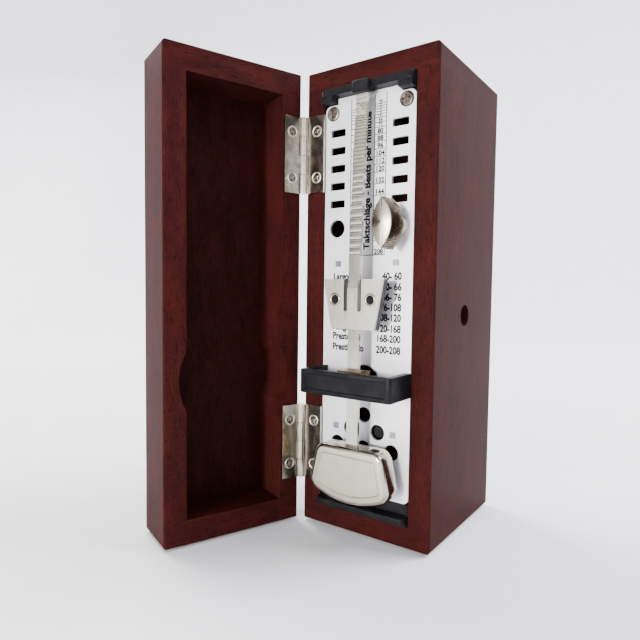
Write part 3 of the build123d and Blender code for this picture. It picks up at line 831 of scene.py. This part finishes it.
@dataclass
class Cabinet:
    """The wooden case, its hollow door, the felt and the black mouldings at the plate's ends."""

    door_open: float = -min(DOOR_SWING["range_deg"])  # degrees, because shut is the lower limit
    panel_inside: float = -12.325  # the panel's inner face, back from the hinge axis when shut
    easing: float = 0.25

    def build(self) -> None:
        """Dresses every board."""
        turn = -math.radians(self.door_open)
        up = StainedMahogany().make()
        across = StainedMahogany("stained_mahogany_across", grain=Grain.ACROSS).make()
        dress(["case_left_side", "case_right_side", "case_back"], up)
        dress(["case_top", "case_bottom"], across)
        stile = StainedMahogany("door_mahogany", turned=turn).make()
        rail = StainedMahogany("door_mahogany_across", grain=Grain.ACROSS, turned=turn).make()
        # the panel's finish paints shade on its side inside the hollow
        panel = StainedMahogany(
            "door_panel_mahogany_hollow_shade", turned=turn, hollow_depth=self.panel_inside
        ).make()
        dress(["door_hinge_stile", "door_free_stile"], stile)
        dress(["door_top_rail", "door_bottom_rail"], rail)
        dress(["door_panel"], panel)
        dress(["base_felt"], PressedFelt().make())
        LOG.info("cabinet dressed, door open by %.1f degrees", self.door_open)

    def mouldings(self, eased: Eased) -> None:
        """Makes the black mouldings above and below the plate.

        Args:
            eased: Eases their edges.
        """
        plastic = MouldedAbs().make()
        for node, name in (
            ("top_ledge", "ledge_moulding"),
            ("rod_catch", "catch_moulding"),
            ("bottom_tray", "tray_moulding"),
        ):
            eased.build(node, "case", name, "black_moulding", plastic, self.easing)


@dataclass
class Hinges:
    """Two butt hinges of pressed, nickel-plated sheet."""

    easing: float = 0.12
    axis: tuple[float, float] = (-19.21, -0.875)
    heights: tuple[float, ...] = (15.7, 27.7, 92.6, 104.6)  # the screws, as z
    case_screws: tuple[float, float] = (-15.1, -0.8)  # x, and the y of the leaf's open face
    door_screws: tuple[float, float] = (-15.65, -0.95)  # the same, when the door is shut
    rim: tuple[float, float] = (1.1, 1.5)  # inner and outer radius
    rim_height: float = 0.07
    crown_steps: int = 6

    def rims(self, screws: tuple[float, float], outward: int) -> bmesh.types.BMesh:
        """The rolled rims that the screws' countersinks leave on one body's leaves.

        Args:
            screws: The screws' x and the y of the leaf's open face, with the door shut.
            outward: The sense along Y in which that face looks.

        Returns:
            Four rims.
        """
        x, face_y = screws
        inner, outer = self.rim
        middle, half = (inner + outer) / 2, (outer - inner) / 2
        angles = [math.pi * n / self.crown_steps for n in range(self.crown_steps + 1)]
        crown = [
            (middle - half * math.cos(a), face_y + outward * self.rim_height * math.sin(a))
            for a in angles
        ]
        foot = face_y - outward * self.rim_height
        whole = bmesh.new()
        for z in self.heights:
            one = spun([(inner, foot), *crown, (outer, foot), (inner, foot)], x, z, 32)
            mesh = bpy.data.meshes.new("rim")
            one.to_mesh(mesh)
            one.free()
            whole.from_mesh(mesh)
            bpy.data.meshes.remove(mesh)
        return whole

    def build(self, eased: Eased, nickel: bpy.types.Material, turned: float) -> None:
        """Makes the four leaves and the rims round their screws.

        Args:
            eased: Eases their edges.
            nickel: Their finish.
            turned: How far the door stands open, in degrees.
        """
        for side in ("lower", "upper"):
            for part, body in (("case", "case"), ("door", "door")):
                node = f"{side}_hinge_{part}_leaf"
                name = f"{side}_{part}_leaf"
                eased.build(node, body, name, "nickel_plate", nickel, self.easing)
        # painted highlight: the rims' nickel is coloured near white so that they glint brighter
        # than the leaves
        bright = NickelPlate("rim_painted_highlight", "#f0ecdf", roughness=0.24).make()
        case_rims = self.rims(self.case_screws, -1)
        finish_piece(case_rims, "case_screw_rims", "case", [bright])
        door_rims = self.rims(self.door_screws, 1)
        bmesh.ops.rotate(
            door_rims,
            verts=door_rims.verts,
            cent=at(*self.axis, 0),
            matrix=Matrix.Rotation(math.radians(-turned), 3, "Z"),
        )
        finish_piece(door_rims, "door_screw_rims", "door", [bright])


@dataclass
class Dial:
    """The silvered plate and everything printed on it."""

    ink_height: float = 0.012
    rule: float = 0.22
    outer: float = 5.05
    inner: float = 1.8
    top: float = 111.2
    pivot: float = 40.0
    number_height: float = 1.25
    number_gap: float = 0.22
    word_height: float = 1.75
    words: tuple[float, float] = (-9.9, 10.0)  # where the words start and the beats end
    label: str = "Taktschläge - Beats per minute"
    label_place: tuple[float, float] = (0.75, 73.2)
    label_height: float = 1.7
    capital: float = 0.7  # how tall a capital is in letters one unit high
    bolder: float = 0.042
    stiffness: float = 3.91e6  # these three say where the weight stands for a tempo
    weight_reach: float = 71.74
    inertia: float = 2598.0
    names: tuple[tuple[str, str, float], ...] = (
        ("Largo", "40- 60", 65.66),
        ("Larghetto", "60- 66", 63.05),
        ("Adagio", "66- 76", 60.51),
        ("Andante", "76-108", 57.97),
        ("Moderato", "108-120", 55.41),
        ("Allegro", "120-168", 52.70),
        ("Presto", "168-200", 50.21),
        ("Prestissimo", "200-208", 47.39),
    )

    def tempos(self) -> list[int]:
        """The beats per minute on the scale, slowest first."""
        steps = ((40, 60, 2), (60, 72, 3), (72, 120, 4), (120, 144, 6), (144, 209, 8))
        return [tempo for step in steps for tempo in range(*step)]

    def height(self, tempo: int) -> float:
        """Where the weight's top edge stands for a tempo, from the balance of the pendulum.

        Args:
            tempo: The beats per minute.

        Returns:
            Its z.
        """
        square = tempo**2
        free = self.stiffness * self.weight_reach - self.inertia * square
        root = math.sqrt(self.stiffness**2 + 4 * square * free)
        return self.pivot + (root - self.stiffness) / (2 * square)

    def bar(self, bm: bmesh.types.BMesh, x: Sequence[float], z: Sequence[float]) -> None:
        """Adds a printed line.

        Args:
            bm: The print.
            x: Where it starts and ends.
            z: Where it starts and ends.
        """
        middle = at((x[0] + x[1]) / 2, PLATE_FACE - self.ink_height / 2, (z[0] + z[1]) / 2)
        size = Vector(((x[1] - x[0]) * MM, self.ink_height * MM, (z[1] - z[0]) * MM))
        place = Matrix.Translation(middle) @ Matrix.Diagonal((*size, 1.0))
        bmesh.ops.create_cube(bm, size=1.0, matrix=place)

    def lettering(self, words: str, side: str) -> bpy.types.Mesh:
        """Flat letters one unit high.

        Args:
            words: What they say.
            side: LEFT, CENTER or RIGHT.

        Returns:
            Their mesh, drawn in x and y.
        """
        curve = bpy.data.curves.new("lettering", "FONT")
        curve.body = words
        curve.align_x = side
        curve.offset = self.bolder
        curve.extrude = 0.5
        curve.resolution_u = 3
        holder = bpy.data.objects.new("lettering", curve)
        bpy.context.scene.collection.objects.link(holder)
        bpy.context.view_layer.update()
        mesh = bpy.data.meshes.new_from_object(
            holder.evaluated_get(bpy.context.evaluated_depsgraph_get())
        )
        bpy.data.objects.remove(holder)
        bpy.data.curves.remove(curve)
        return mesh

    def letters(
        self,
        bm: bmesh.types.BMesh,
        words: str,
        place: tuple[float, float],
        height: float,
        side: str = "LEFT",
        narrow: float = 0.82,
        upward: bool = False,
    ) -> None:
        """Prints words.

        Args:
            bm: The print.
            words: What they say.
            place: Where their baseline starts, ends or is centred, as x and z.
            height: How tall a capital is.
            side: Which side of them that is.
            narrow: How far they are condensed.
            upward: Whether they read up the plate.
        """
        mesh = self.lettering(words, side)
        scale = height / self.capital * MM
        size = Matrix.Diagonal((scale * narrow, scale, self.ink_height * MM, 1.0))
        turn = Matrix.Rotation(QUARTER_TURN if upward else 0.0, 4, "Z")
        stand = Matrix.Rotation(QUARTER_TURN, 4, "X")
        spot = Matrix.Translation(at(place[0], PLATE_FACE - self.ink_height / 2, place[1]))
        mesh.transform(spot @ stand @ turn @ size)
        bm.from_mesh(mesh)
        bpy.data.meshes.remove(mesh)

    def scale(self, bm: bmesh.types.BMesh) -> None:
        """Prints the tempo scale: four uprights, and a line under each number.

        Args:
            bm: The print.
        """
        tempos = self.tempos()
        foot = self.height(tempos[-1])
        half = self.rule / 2
        for side in (-1, 1):
            for x in (self.inner, self.outer):
                self.bar(bm, (side * x - half, side * x + half), (foot - half, self.top))
        self.bar(bm, (-self.outer, self.outer), (foot - half, foot + half))
        for n, tempo in enumerate(tempos):
            side = 1 if n % 2 == 0 else -1
            z = self.height(tempo)
            near, far = sorted((side * self.inner, side * self.outer))
            self.bar(bm, (near, far), (z - half * 0.8, z + half * 0.8))
            above = self.height(tempos[n - 2]) if n > 1 else z + 1.0
            tall = min(self.number_height, (above - z) * 0.7)
            middle = side * (self.inner + self.outer) / 2
            self.letters(bm, str(tempo), (middle, z + self.number_gap), tall, "CENTER", 0.95)

    def build(self) -> None:
        """Dresses the plate and prints it."""
        dress(["dial_plate"], SilveredPlate().make())
        bm = bmesh.new()
        self.scale(bm)
        self.letters(bm, self.label, self.label_place, self.label_height, "LEFT", 1.12, upward=True)
        for name, beats, z in self.names:
            self.letters(bm, name, (self.words[0], z), self.word_height)
            self.letters(bm, beats, (self.words[1], z), self.word_height, "RIGHT")
        ink = finish_piece(bm, "dial_print", "case", [PrintedInk().make()], 30.0)
        LOG.info("dial printed with %d tempos", len(self.tempos()))


@dataclass
class Bridge:
    """The moulded bridge that carries the front of the spindle."""

    half: float = 13.0
    low: float = 37.05
    high: float = 43.05
    front: float = -10.0
    web: float = 1.5
    leg: float = 1.6
    corner: float = 0.9
    easing: float = 0.28
    border: float = 0.75
    draft: float = 0.18  # the slope of the wall round the sunk field
    sunk: float = 0.3

    def build(self, plastic: bpy.types.Material) -> None:
        """Makes the bridge with its framed front.

        Args:
            plastic: Its finish.
        """
        inside = self.half - self.leg
        behind = self.front + self.web
        outline = [
            (-self.half, self.front),
            (self.half, self.front),
            (self.half, PLATE_FACE),
            (inside, PLATE_FACE),
            (inside, behind),
            (-inside, behind),
            (-inside, PLATE_FACE),
            (-self.half, PLATE_FACE),
        ]
        tall = (self.high - self.low) * MM
        bm = prism([at(x, y, self.low) for x, y in outline], Vector((0, 0, tall)))
        corners = [e for e in flat_face(bm).edges if abs(e.calc_length() - tall) < TOUCH]
        soften(bm, corners, self.corner, 5)
        web_back = at(0, behind - 0.2, 0).y
        rims = [
            e
            for e in bm.edges
            if reach_along(e, 2) < TOUCH and min(v.co.y for v in e.verts) < web_back
        ]
        soften(bm, rims, self.easing, 3)
        face = flat_face(bm)
        inset(bm, face, self.border)
        inset(bm, face, self.draft, -self.sunk)
        piece = finish_piece(bm, "bridge_moulding", "case", [plastic])
        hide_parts("bridge")
        LOG.info("bridge %.1f mm out of the case", -self.front)


@dataclass
class Pendulum:
    """The notched rod, the spindle with its clamp, and the bob."""

    top: tuple[float, float] = (9.3, 24.3)
    wide: tuple[float, float] = (11.49, 14.3)
    low: tuple[float, float] = (10.2, 12.7)
    bottom: float = 10.2
    front: float = -7.55
    back: float = -2.0
    shoulder: float = 2.2
    hip: float = 1.1
    rim: float = 0.95
    back_rim: float = 0.5
    border: float = 1.15
    groove: tuple[float, float] = (0.12, 0.16)  # half the width and the depth of the engraving
    rod_half: float = 1.6
    rod_thick: float = 0.9
    rod_front: float = -5.4
    rod_lean_top: float = -3.15
    rod_low: float = 17.0
    rod_bend: float = 72.5
    rod_top: float = 110.75
    step: float = 0.2
    dish_steps: int = 6  # how many parts the curve between two notches has

    def outline(self) -> list[tuple[float, float]]:
        """The bob's outline, its corners still sharp.

        Returns:
            Its points, as x and z.
        """
        half, z = self.low
        drop = z - self.bottom
        radius = (half**2 + drop**2) / (2 * drop)
        sweep = math.degrees(math.asin(half / radius))
        curve = arc((0, self.bottom + radius), radius, -90 - sweep, -90 + sweep, 16)
        return [
            (-self.top[0], self.top[1]),
            (-self.wide[0], self.wide[1]),
            *curve,
            (self.wide[0], self.wide[1]),
            (self.top[0], self.top[1]),
        ]

    def rounded(self) -> bmesh.types.BMesh:
        """The bob's block, its upright corners rounded.

        Returns:
            The block.
        """
        bm = slab(self.outline(), self.front, self.back)
        shoulder_z = at(0, 0, self.top[1] - 0.1).z
        hip = at(self.wide[0], 0, self.wide[1])
        upright = [e for e in bm.edges if reach_along(e, 1) > MM]
        shoulders = [e for e in upright if e.verts[0].co.z > shoulder_z]
        soften(bm, shoulders, self.shoulder, 7)
        hips = [
            e
            for e in bm.edges
            if reach_along(e, 1) > MM
            and abs(abs(e.verts[0].co.x) - hip.x) < 0.02 * MM
            and abs(e.verts[0].co.z - hip.z) < 0.02 * MM
        ]
        soften(bm, hips, self.hip, 5)
        return bm

    def bob(self) -> bmesh.types.BMesh:
        """The bob with its polished round rim and the line engraved round its face.

        Returns:
            The bob, the faces of its rim second in its finishes.
        """
        bm = self.rounded()
        soften(bm, flat_face(bm).edges, self.rim, 6)
        soften(bm, flat_face(bm, 1).edges, self.back_rim, 3)
        face = flat_face(bm)
        for other in bm.faces:
            other.material_index = 1
        face.material_index = 0
        inset(bm, face, self.border)
        width, depth = self.groove
        inset(bm, face, width, -depth)
        inset(bm, face, width, depth)
        return bm

    def rod(self, heights: Sequence[float]) -> bmesh.types.BMesh:
        """The rod, its front pressed into a shallow step between each pair of tempos.

        Args:
            heights: The z of each notch, lowest first.

        Returns:
            The rod.
        """
        slope = (self.rod_lean_top - self.rod_front) / (self.rod_top - self.rod_bend)
        side = [(self.rod_front, self.rod_low), (self.rod_front, heights[0] - 0.2)]
        for z, following in zip(heights, [*heights[1:], self.rod_top]):
            face = self.rod_front + max(0.0, z - self.rod_bend) * slope
            side.append((face + self.step, z))
            pitch = following - z
            for n in range(1, self.dish_steps):
                share = n / self.dish_steps
                bulge = self.step * (1 - (2 * share - 1) ** 2) ** 0.5
                side.append((face + pitch * share * slope + self.step - bulge, z + pitch * share))
        side += [
            (self.rod_lean_top, self.rod_top),
            (self.rod_lean_top + self.rod_thick, self.rod_top),
            (self.rod_front + self.rod_thick, self.rod_bend),
            (self.rod_front + self.rod_thick, self.rod_low),
        ]
        corners = [at(-self.rod_half, y, z) for y, z in side]
        return prism(corners, Vector((2 * self.rod_half * MM, 0, 0)))

    def build(self, nickel: bpy.types.Material, heights: Sequence[float]) -> None:
        """Makes the bob and the rod and dresses the rest.

        Args:
            nickel: The finish of the bob's rim.
            heights: The z of each notch in the rod, lowest first.
        """
        satin = BrushedSteel("satin_steel", "#b9b39f", roughness=0.36, grain=Grain.ACROSS).make()
        strip = BrushedSteel("brushed_strip", "#cbc5b4", roughness=0.13).make()
        piece = finish_piece(self.bob(), "bob_weight", "pendulum", [satin, nickel])
        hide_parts("bob")
        rod = finish_piece(self.rod(heights), "notched_rod", "pendulum", [strip], 24.0)
        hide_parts("pendulum_rod")
        # painted shade: the clamp stands in the shade behind the bridge, so its brass is coloured
        # dark brown
        dress(["rod_clamp"], RolledBrass("clamp_brass_painted_shade", "#4a3c2a").make())
        dress(["pendulum_arbor", "pallets"], MachinedSteel("spindle_steel").make())
        LOG.info("bob %.1f mm wide", 2 * self.wide[0])


@dataclass
class SlidingWeight:
    """The weight on the rod: a bright sheet with a springy tongue, riveted to a dark back."""

    low: tuple[float, float] = (6.17, 53.4)
    top: tuple[float, float] = (8.44, 65.65)
    front: float = -6.1
    sheet: float = 0.65
    slot_inner: float = 1.45
    slot_outer: float = 2.5
    slot_low: float = 57.7
    bend: float = 63.0
    bend_steps: tuple[int, float] = (4, 0.45)  # how many lines the tongue bends at, and their gap
    tip_thickness: float = 0.2
    rivet: tuple[float, float, float] = (5.02, 60.7, 1.6)  # x, z and radius
    bore: float = 0.95

    def outline(self) -> list[tuple[float, float]]:
        """The sheet's outline, down one slot, over the tongue and down the other slot.

        Returns:
            Its points, as x and z.
        """
        middle = (self.slot_inner + self.slot_outer) / 2
        small = (self.slot_outer - self.slot_inner) / 2
        right = arc((middle, self.slot_low + small), small, 0, -180, 8)
        left = arc((-middle, self.slot_low + small), small, 0, -180, 8)
        tongue = arc((0, self.top[1] - self.slot_inner), self.slot_inner, 0, 180, 14)
        return [
            (-self.low[0], self.low[1]),
            (self.low[0], self.low[1]),
            (self.top[0], self.top[1]),
            (self.slot_outer, self.top[1]),
            *right,
            *tongue,
            *left,
            (-self.slot_outer, self.top[1]),
            (-self.top[0], self.top[1]),
        ]

    def face(self) -> bmesh.types.BMesh:
        """The bright sheet, its tongue's tip pressed back towards the rod.

        Returns:
            The sheet, the faces of its tip, painted darker as shade, second in its finishes.
        """
        bm = slab(self.outline(), self.front, self.front + self.sheet)
        lines, gap = self.bend_steps
        for n in range(lines):
            bmesh.ops.bisect_plane(
                bm,
                geom=bm.verts[:] + bm.edges[:] + bm.faces[:],
                plane_co=at(0, 0, self.bend + gap * n),
                plane_no=(0, 0, 1),
            )
        start = at(0, self.front, self.bend)
        tongue_half = (self.slot_inner + 0.01) * MM
        for vert in bm.verts:
            rise = (vert.co.z - start.z) / MM
            in_front = abs(vert.co.y - start.y) < 0.01 * MM
            if abs(vert.co.x) < tongue_half and rise > 0 and in_front:
                share = min(1.0, rise / (self.top[1] - self.bend))
                vert.co.y += share * (self.sheet - self.tip_thickness) * MM
        # painted shade: the faces of the tongue's leaning tip get a darker finish than the rest of
        # the sheet
        shaded_tip_from = at(0, 0, self.bend + 0.5).z
        for face in bm.faces:
            middle = face.calc_center_median()
            if abs(middle.x) < self.slot_inner * MM and middle.z > shaded_tip_from:
                face.material_index = 1
        return bm

    def ring(self, side: int) -> bmesh.types.BMesh:
        """A hollow rivet with a rolled rim.

        Args:
            side: -1 on the left and 1 on the right.

        Returns:
            The rivet, the faces of its hole, painted black as shade, second in its finishes.
        """
        x, z, outer = self.rivet
        roll = (outer - self.bore) / 2
        rim = [
            (outer - roll + roll * math.cos(a), self.front - roll * math.sin(a))
            for a in (math.pi * n / 8 for n in range(9))
        ]
        back = self.front + 0.2
        floor = self.front - 0.03  # just proud of the sheet, so that the hole shows
        profile = [(0.0, back), (outer, back), *rim, (self.bore, floor), (0.0, floor)]
        bm = spun(profile, side * x, z, 40)
        middle = at(side * x, floor, z)
        # painted shade: the hole's flat floor takes the black finish in place of the dark inside
        # the bore
        for face in bm.faces:
            if (face.calc_center_median() - middle).length < 0.9 * self.bore * MM:
                face.material_index = 1
        return bm

    def build(self, nickel: bpy.types.Material) -> None:
        """Makes the sheet and the rivets and dresses the back.

        Args:
            nickel: The rivets' finish.
        """
        sheet = BrushedSteel("weight_sheet", "#c9c5ba").make()
        # the tongue's tip is coloured darker as painted shade
        tip_shade = BrushedSteel("tongue_tip_painted_shade", "#85817a", roughness=0.34).make()
        piece = finish_piece(self.face(), "weight_sheet", "weight", [sheet, tip_shade], 25.0)
        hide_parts("weight_face")
        dress(["weight_body"], DarkZinc().make())
        # black finish for the painted shade in the rivets' holes
        hole = MouldedAbs("rivet_hole_painted_shade").make()
        for side, name in ((-1, "left"), (1, "right")):
            ring = finish_piece(self.ring(side), f"{name}_rivet", "weight", [nickel, hole])
            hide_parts("weight_rivets")
        LOG.info("sliding weight with its top edge at z %.1f", self.top[1])


@dataclass
class WindingKey:
    """The key that is parked in the plate: a leaf-shaped grip with milled sides."""

    x: float = 8.95
    z: float = 78.6
    half: float = 2.71
    tall: float = 5.97
    front: float = -8.65
    back: float = -2.4
    ridges: int = 26
    ridge: float = 0.3
    cone: tuple[float, float, float] = (0.25, 0.15, 0.2)  # the rim's width and rise, the tip's rise

    def outline(self) -> list[tuple[float, float]]:
        """The grip's outline: two arcs of fine ridges that meet in points.

        Returns:
            Its points, as x and z.
        """
        radius = (self.tall**2 + self.half**2) / (2 * self.half)
        sweep = math.degrees(math.asin(self.tall / radius))
        points = []
        for side, start in ((1, -sweep), (-1, 180 - sweep)):
            middle = self.x + side * (self.half - radius)
            steps = 4 * self.ridges
            for n in range(steps):
                angle = math.radians(start + 2 * sweep * n / steps)
                reach = radius - (self.ridge if n % 4 in (2, 3) else 0.0)
                points.append((middle + reach * math.cos(angle), self.z + reach * math.sin(angle)))
        return points

    def wing(self) -> bmesh.types.BMesh:
        """The grip, its front turned to a flat cone.

        Returns:
            The grip, its milled sides second in its finishes.
        """
        width, rise, tip = self.cone
        bm = slab(self.outline(), self.front + rise + tip, self.back)
        face = flat_face(bm)
        for other in bm.faces:
            other.material_index = 1
        face.material_index = 0
        inset(bm, face, width, rise)
        bmesh.ops.poke(bm, faces=[face], offset=tip * MM, center_mode="MEAN")
        return bm

    def build(self, nickel: bpy.types.Material) -> None:
        """Makes the grip and dresses the shank.

        Args:
            nickel: The finish of the shank.
        """
        middle = at(self.x, self.front, self.z)
        turned = TurnedNickel(middle=tuple(middle)).make()
        # painted reflection: the milled sides are coloured a dark brown-grey for the dark
        # surroundings they mirror
        rim = NickelPlate("milled_nickel_painted_reflection", "#75685c", roughness=0.2).make()
        piece = finish_piece(self.wing(), "key_grip", "key", [turned, rim], 30.0)
        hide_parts("key_wing")
        dress(["key_shank"], nickel)
        LOG.info("key grip %.1f mm tall", 2 * self.tall)


@dataclass
class Movement:
    """The clockwork behind the plate and the small fixings."""

    stud: tuple[float, float] = (4.0, 27.2)
    stud_profile: tuple[tuple[float, float], ...] = (
        (1.5, 3.0),
        (1.5, 1.25),
        (1.3, 1.05),
        (0.9, 1.05),
        (0.75, 1.25),
        (0.0, 1.25),
    )

    def build(self, nickel: bpy.types.Material) -> None:
        """Dresses the movement, the pins and the screws.

        Args:
            nickel: The finish of the hinge pins.
        """
        dress(
            ["rear_cock", "great_wheel", "spring_barrel", "second_wheel", "escape_wheel"],
            RolledBrass().make(),
        )
        dress(
            [
                "left_side_plate",
                "right_side_plate",
                "bridge_screws",
                "click",
                "click_screw",
                "click_spring",
                "ratchet_wheel",
                "winding_arbor",
                "second_arbor",
                "escape_arbor",
                "mainspring",
                "movement_pillars",
            ],
            MachinedSteel().make(),
        )
        dress(["lower_hinge_pin", "upper_hinge_pin"], nickel)
        # painted reflection: the screws' nickel is coloured a dark brown-grey for the dark
        # surroundings it mirrors
        screws = ["case_hinge_screws", "door_hinge_screws", "dial_screws"]
        dress(screws, NickelPlate("screw_nickel_painted_dark", "#4a423b", roughness=0.2).make())
        rubber = MouldedAbs("stud_rubber", "#1c1c1c", roughness=0.6).make()
        shape = spun(self.stud_profile, *self.stud)
        stud = finish_piece(shape, "buffer_stud", "case", [rubber])
        LOG.info("movement dressed")


@dataclass
class Studio:
    """The paper sweep, the lights and the camera."""

    flat: float = 0.62
    bend: float = 0.38
    wall: float = 0.75
    eye: tuple[float, float, float] = (0.070684, -0.138750, 0.063484)
    azimuth: float = 35.597
    down: float = 3.063
    roll: float = 0.702
    lens: float = 30.554
    card_away: float = 0.46
    card_colour: str = "#26241d"
    aim: tuple[float, float, float] = (0.0, -0.01, 0.06)  # where the lamps point

    def sweep(self) -> None:
        """A round floor that curves up to a wall."""
        outline = [(0.0, 0.0), (self.flat * 0.5, 0.0)]
        outline += arc((self.flat, self.bend), self.bend, -90, 0, 12)
        outline.append((self.flat + self.bend, self.wall))
        profile = [Vector((r, 0, z)) for r, z in outline]
        bm = lathe(profile, Vector(), Vector((0, 0, 1)), 96, 0.01)
        made(bm, "paper_sweep", [PaperSweep().make()])

    def card(self, name: str, azimuth: float, half_width: float, half_height: float) -> None:
        """Stands a dark card that faces the metronome, for the polished metal to mirror.

        Args:
            name: Its name.
            azimuth: Where it stands, in degrees round to the right from straight in front.
            half_width: Half its width in metres.
            half_height: Half its height in metres.
        """
        bm = bmesh.new()
        turn = Matrix.Rotation(math.radians(azimuth), 4, "Z")
        spot = Matrix.Translation((0.0, -self.card_away, half_height + 2 * MM))
        upright = Matrix.Rotation(QUARTER_TURN, 4, "X")
        size = Matrix.Diagonal((half_width, half_height, 1.0, 1.0))
        place = turn @ spot @ upright @ size
        bmesh.ops.create_grid(bm, x_segments=1, y_segments=1, size=1.0, matrix=place)
        card = made(bm, name, [Finish(name, self.card_colour, roughness=0.9).make()])
        card.visible_camera = False

    def lamp(
        self,
        name: str,
        spot: tuple[float, float, float],
        size: tuple[float, float],
        power: float,
        colour: str,
    ) -> None:
        """Hangs a soft light that points at the metronome.

        Args:
            name: Its name.
            spot: Where it hangs.
            size: Its width and height in metres.
            power: Its power in watts.
            colour: Its colour.
        """
        data = bpy.data.lights.new(name, "AREA")
        data.shape = "RECTANGLE"
        data.size, data.size_y = size
        data.energy = power
        data.color = linear(colour)[:3]
        lamp = bpy.data.objects.new(name, data)
        lamp.location = spot
        aim = Vector(self.aim) - Vector(spot)
        lamp.rotation_euler = aim.to_track_quat("-Z", "Y").to_euler()
        bpy.context.scene.collection.objects.link(lamp)

    def camera(self) -> None:
        """Sets the camera a hand's length away, to the right of the dial and level with it."""
        side, down = math.radians(self.azimuth), math.radians(self.down)
        ahead = Vector(
            (-math.sin(side) * math.cos(down), math.cos(side) * math.cos(down), -math.sin(down))
        )
        right = ahead.cross(Vector((0, 0, 1))).normalized()
        up = right.cross(ahead)
        roll = math.radians(self.roll)
        right, up = (
            math.cos(roll) * right + math.sin(roll) * up,
            -math.sin(roll) * right + math.cos(roll) * up,
        )
        turn = Matrix((right, up, -ahead)).transposed()
        data = bpy.data.cameras.new("camera")
        data.lens = self.lens
        data.sensor_width = 36.0
        data.clip_start = 0.005
        data.clip_end = 10.0
        camera = bpy.data.objects.new("camera", data)
        camera.matrix_world = Matrix.Translation(self.eye) @ turn.to_4x4()
        bpy.context.scene.collection.objects.link(camera)
        bpy.context.scene.camera = camera

    def world(self) -> None:
        """An even pale light from all round."""
        world = bpy.data.worlds.new("room")
        world.use_nodes = True
        sky = world.node_tree.nodes["Background"]
        sky.inputs["Color"].default_value = linear("#f3f5fb")
        sky.inputs["Strength"].default_value = 0.7
        bpy.context.scene.world = world

    def build(self) -> None:
        """Makes the whole studio."""
        self.sweep()
        self.card("left_card", -49.0, 0.158, 0.16)
        self.card("right_card", 103.0, 0.20, 0.20)
        self.world()
        self.lamp("front_lamp", (-0.05, -0.80, 0.11), (0.07, 0.12), 8.5, "#fff8f0")
        self.lamp("back_panel", (0.55, 0.45, 0.75), (0.6, 0.6), 27.0, "#f6f8ff")
        self.lamp("left_panel", (-0.65, 0.10, 0.75), (0.6, 0.6), 18.0, "#ffffff")
        self.camera()
        LOG.info("studio ready")


def main() -> None:
    """Builds the looks in order."""
    logging.basicConfig(level=logging.INFO, format="%(name)s: %(message)s")
    nickel = NickelPlate().make()
    cabinet = Cabinet()
    cabinet.build()
    eased = Eased()
    Hinges().build(eased, nickel, cabinet.door_open)
    cabinet.mouldings(eased)
    dial = Dial()
    dial.build()
    Bridge().build(MouldedAbs("bridge_abs").make())
    Pendulum().build(nickel, sorted(dial.height(tempo) for tempo in dial.tempos()))
    SlidingWeight().build(nickel)
    WindingKey().build(nickel)
    Movement().build(nickel)
    Studio().build()
    LOG.info("boxes written")


if __name__ == "__main__":
    main()
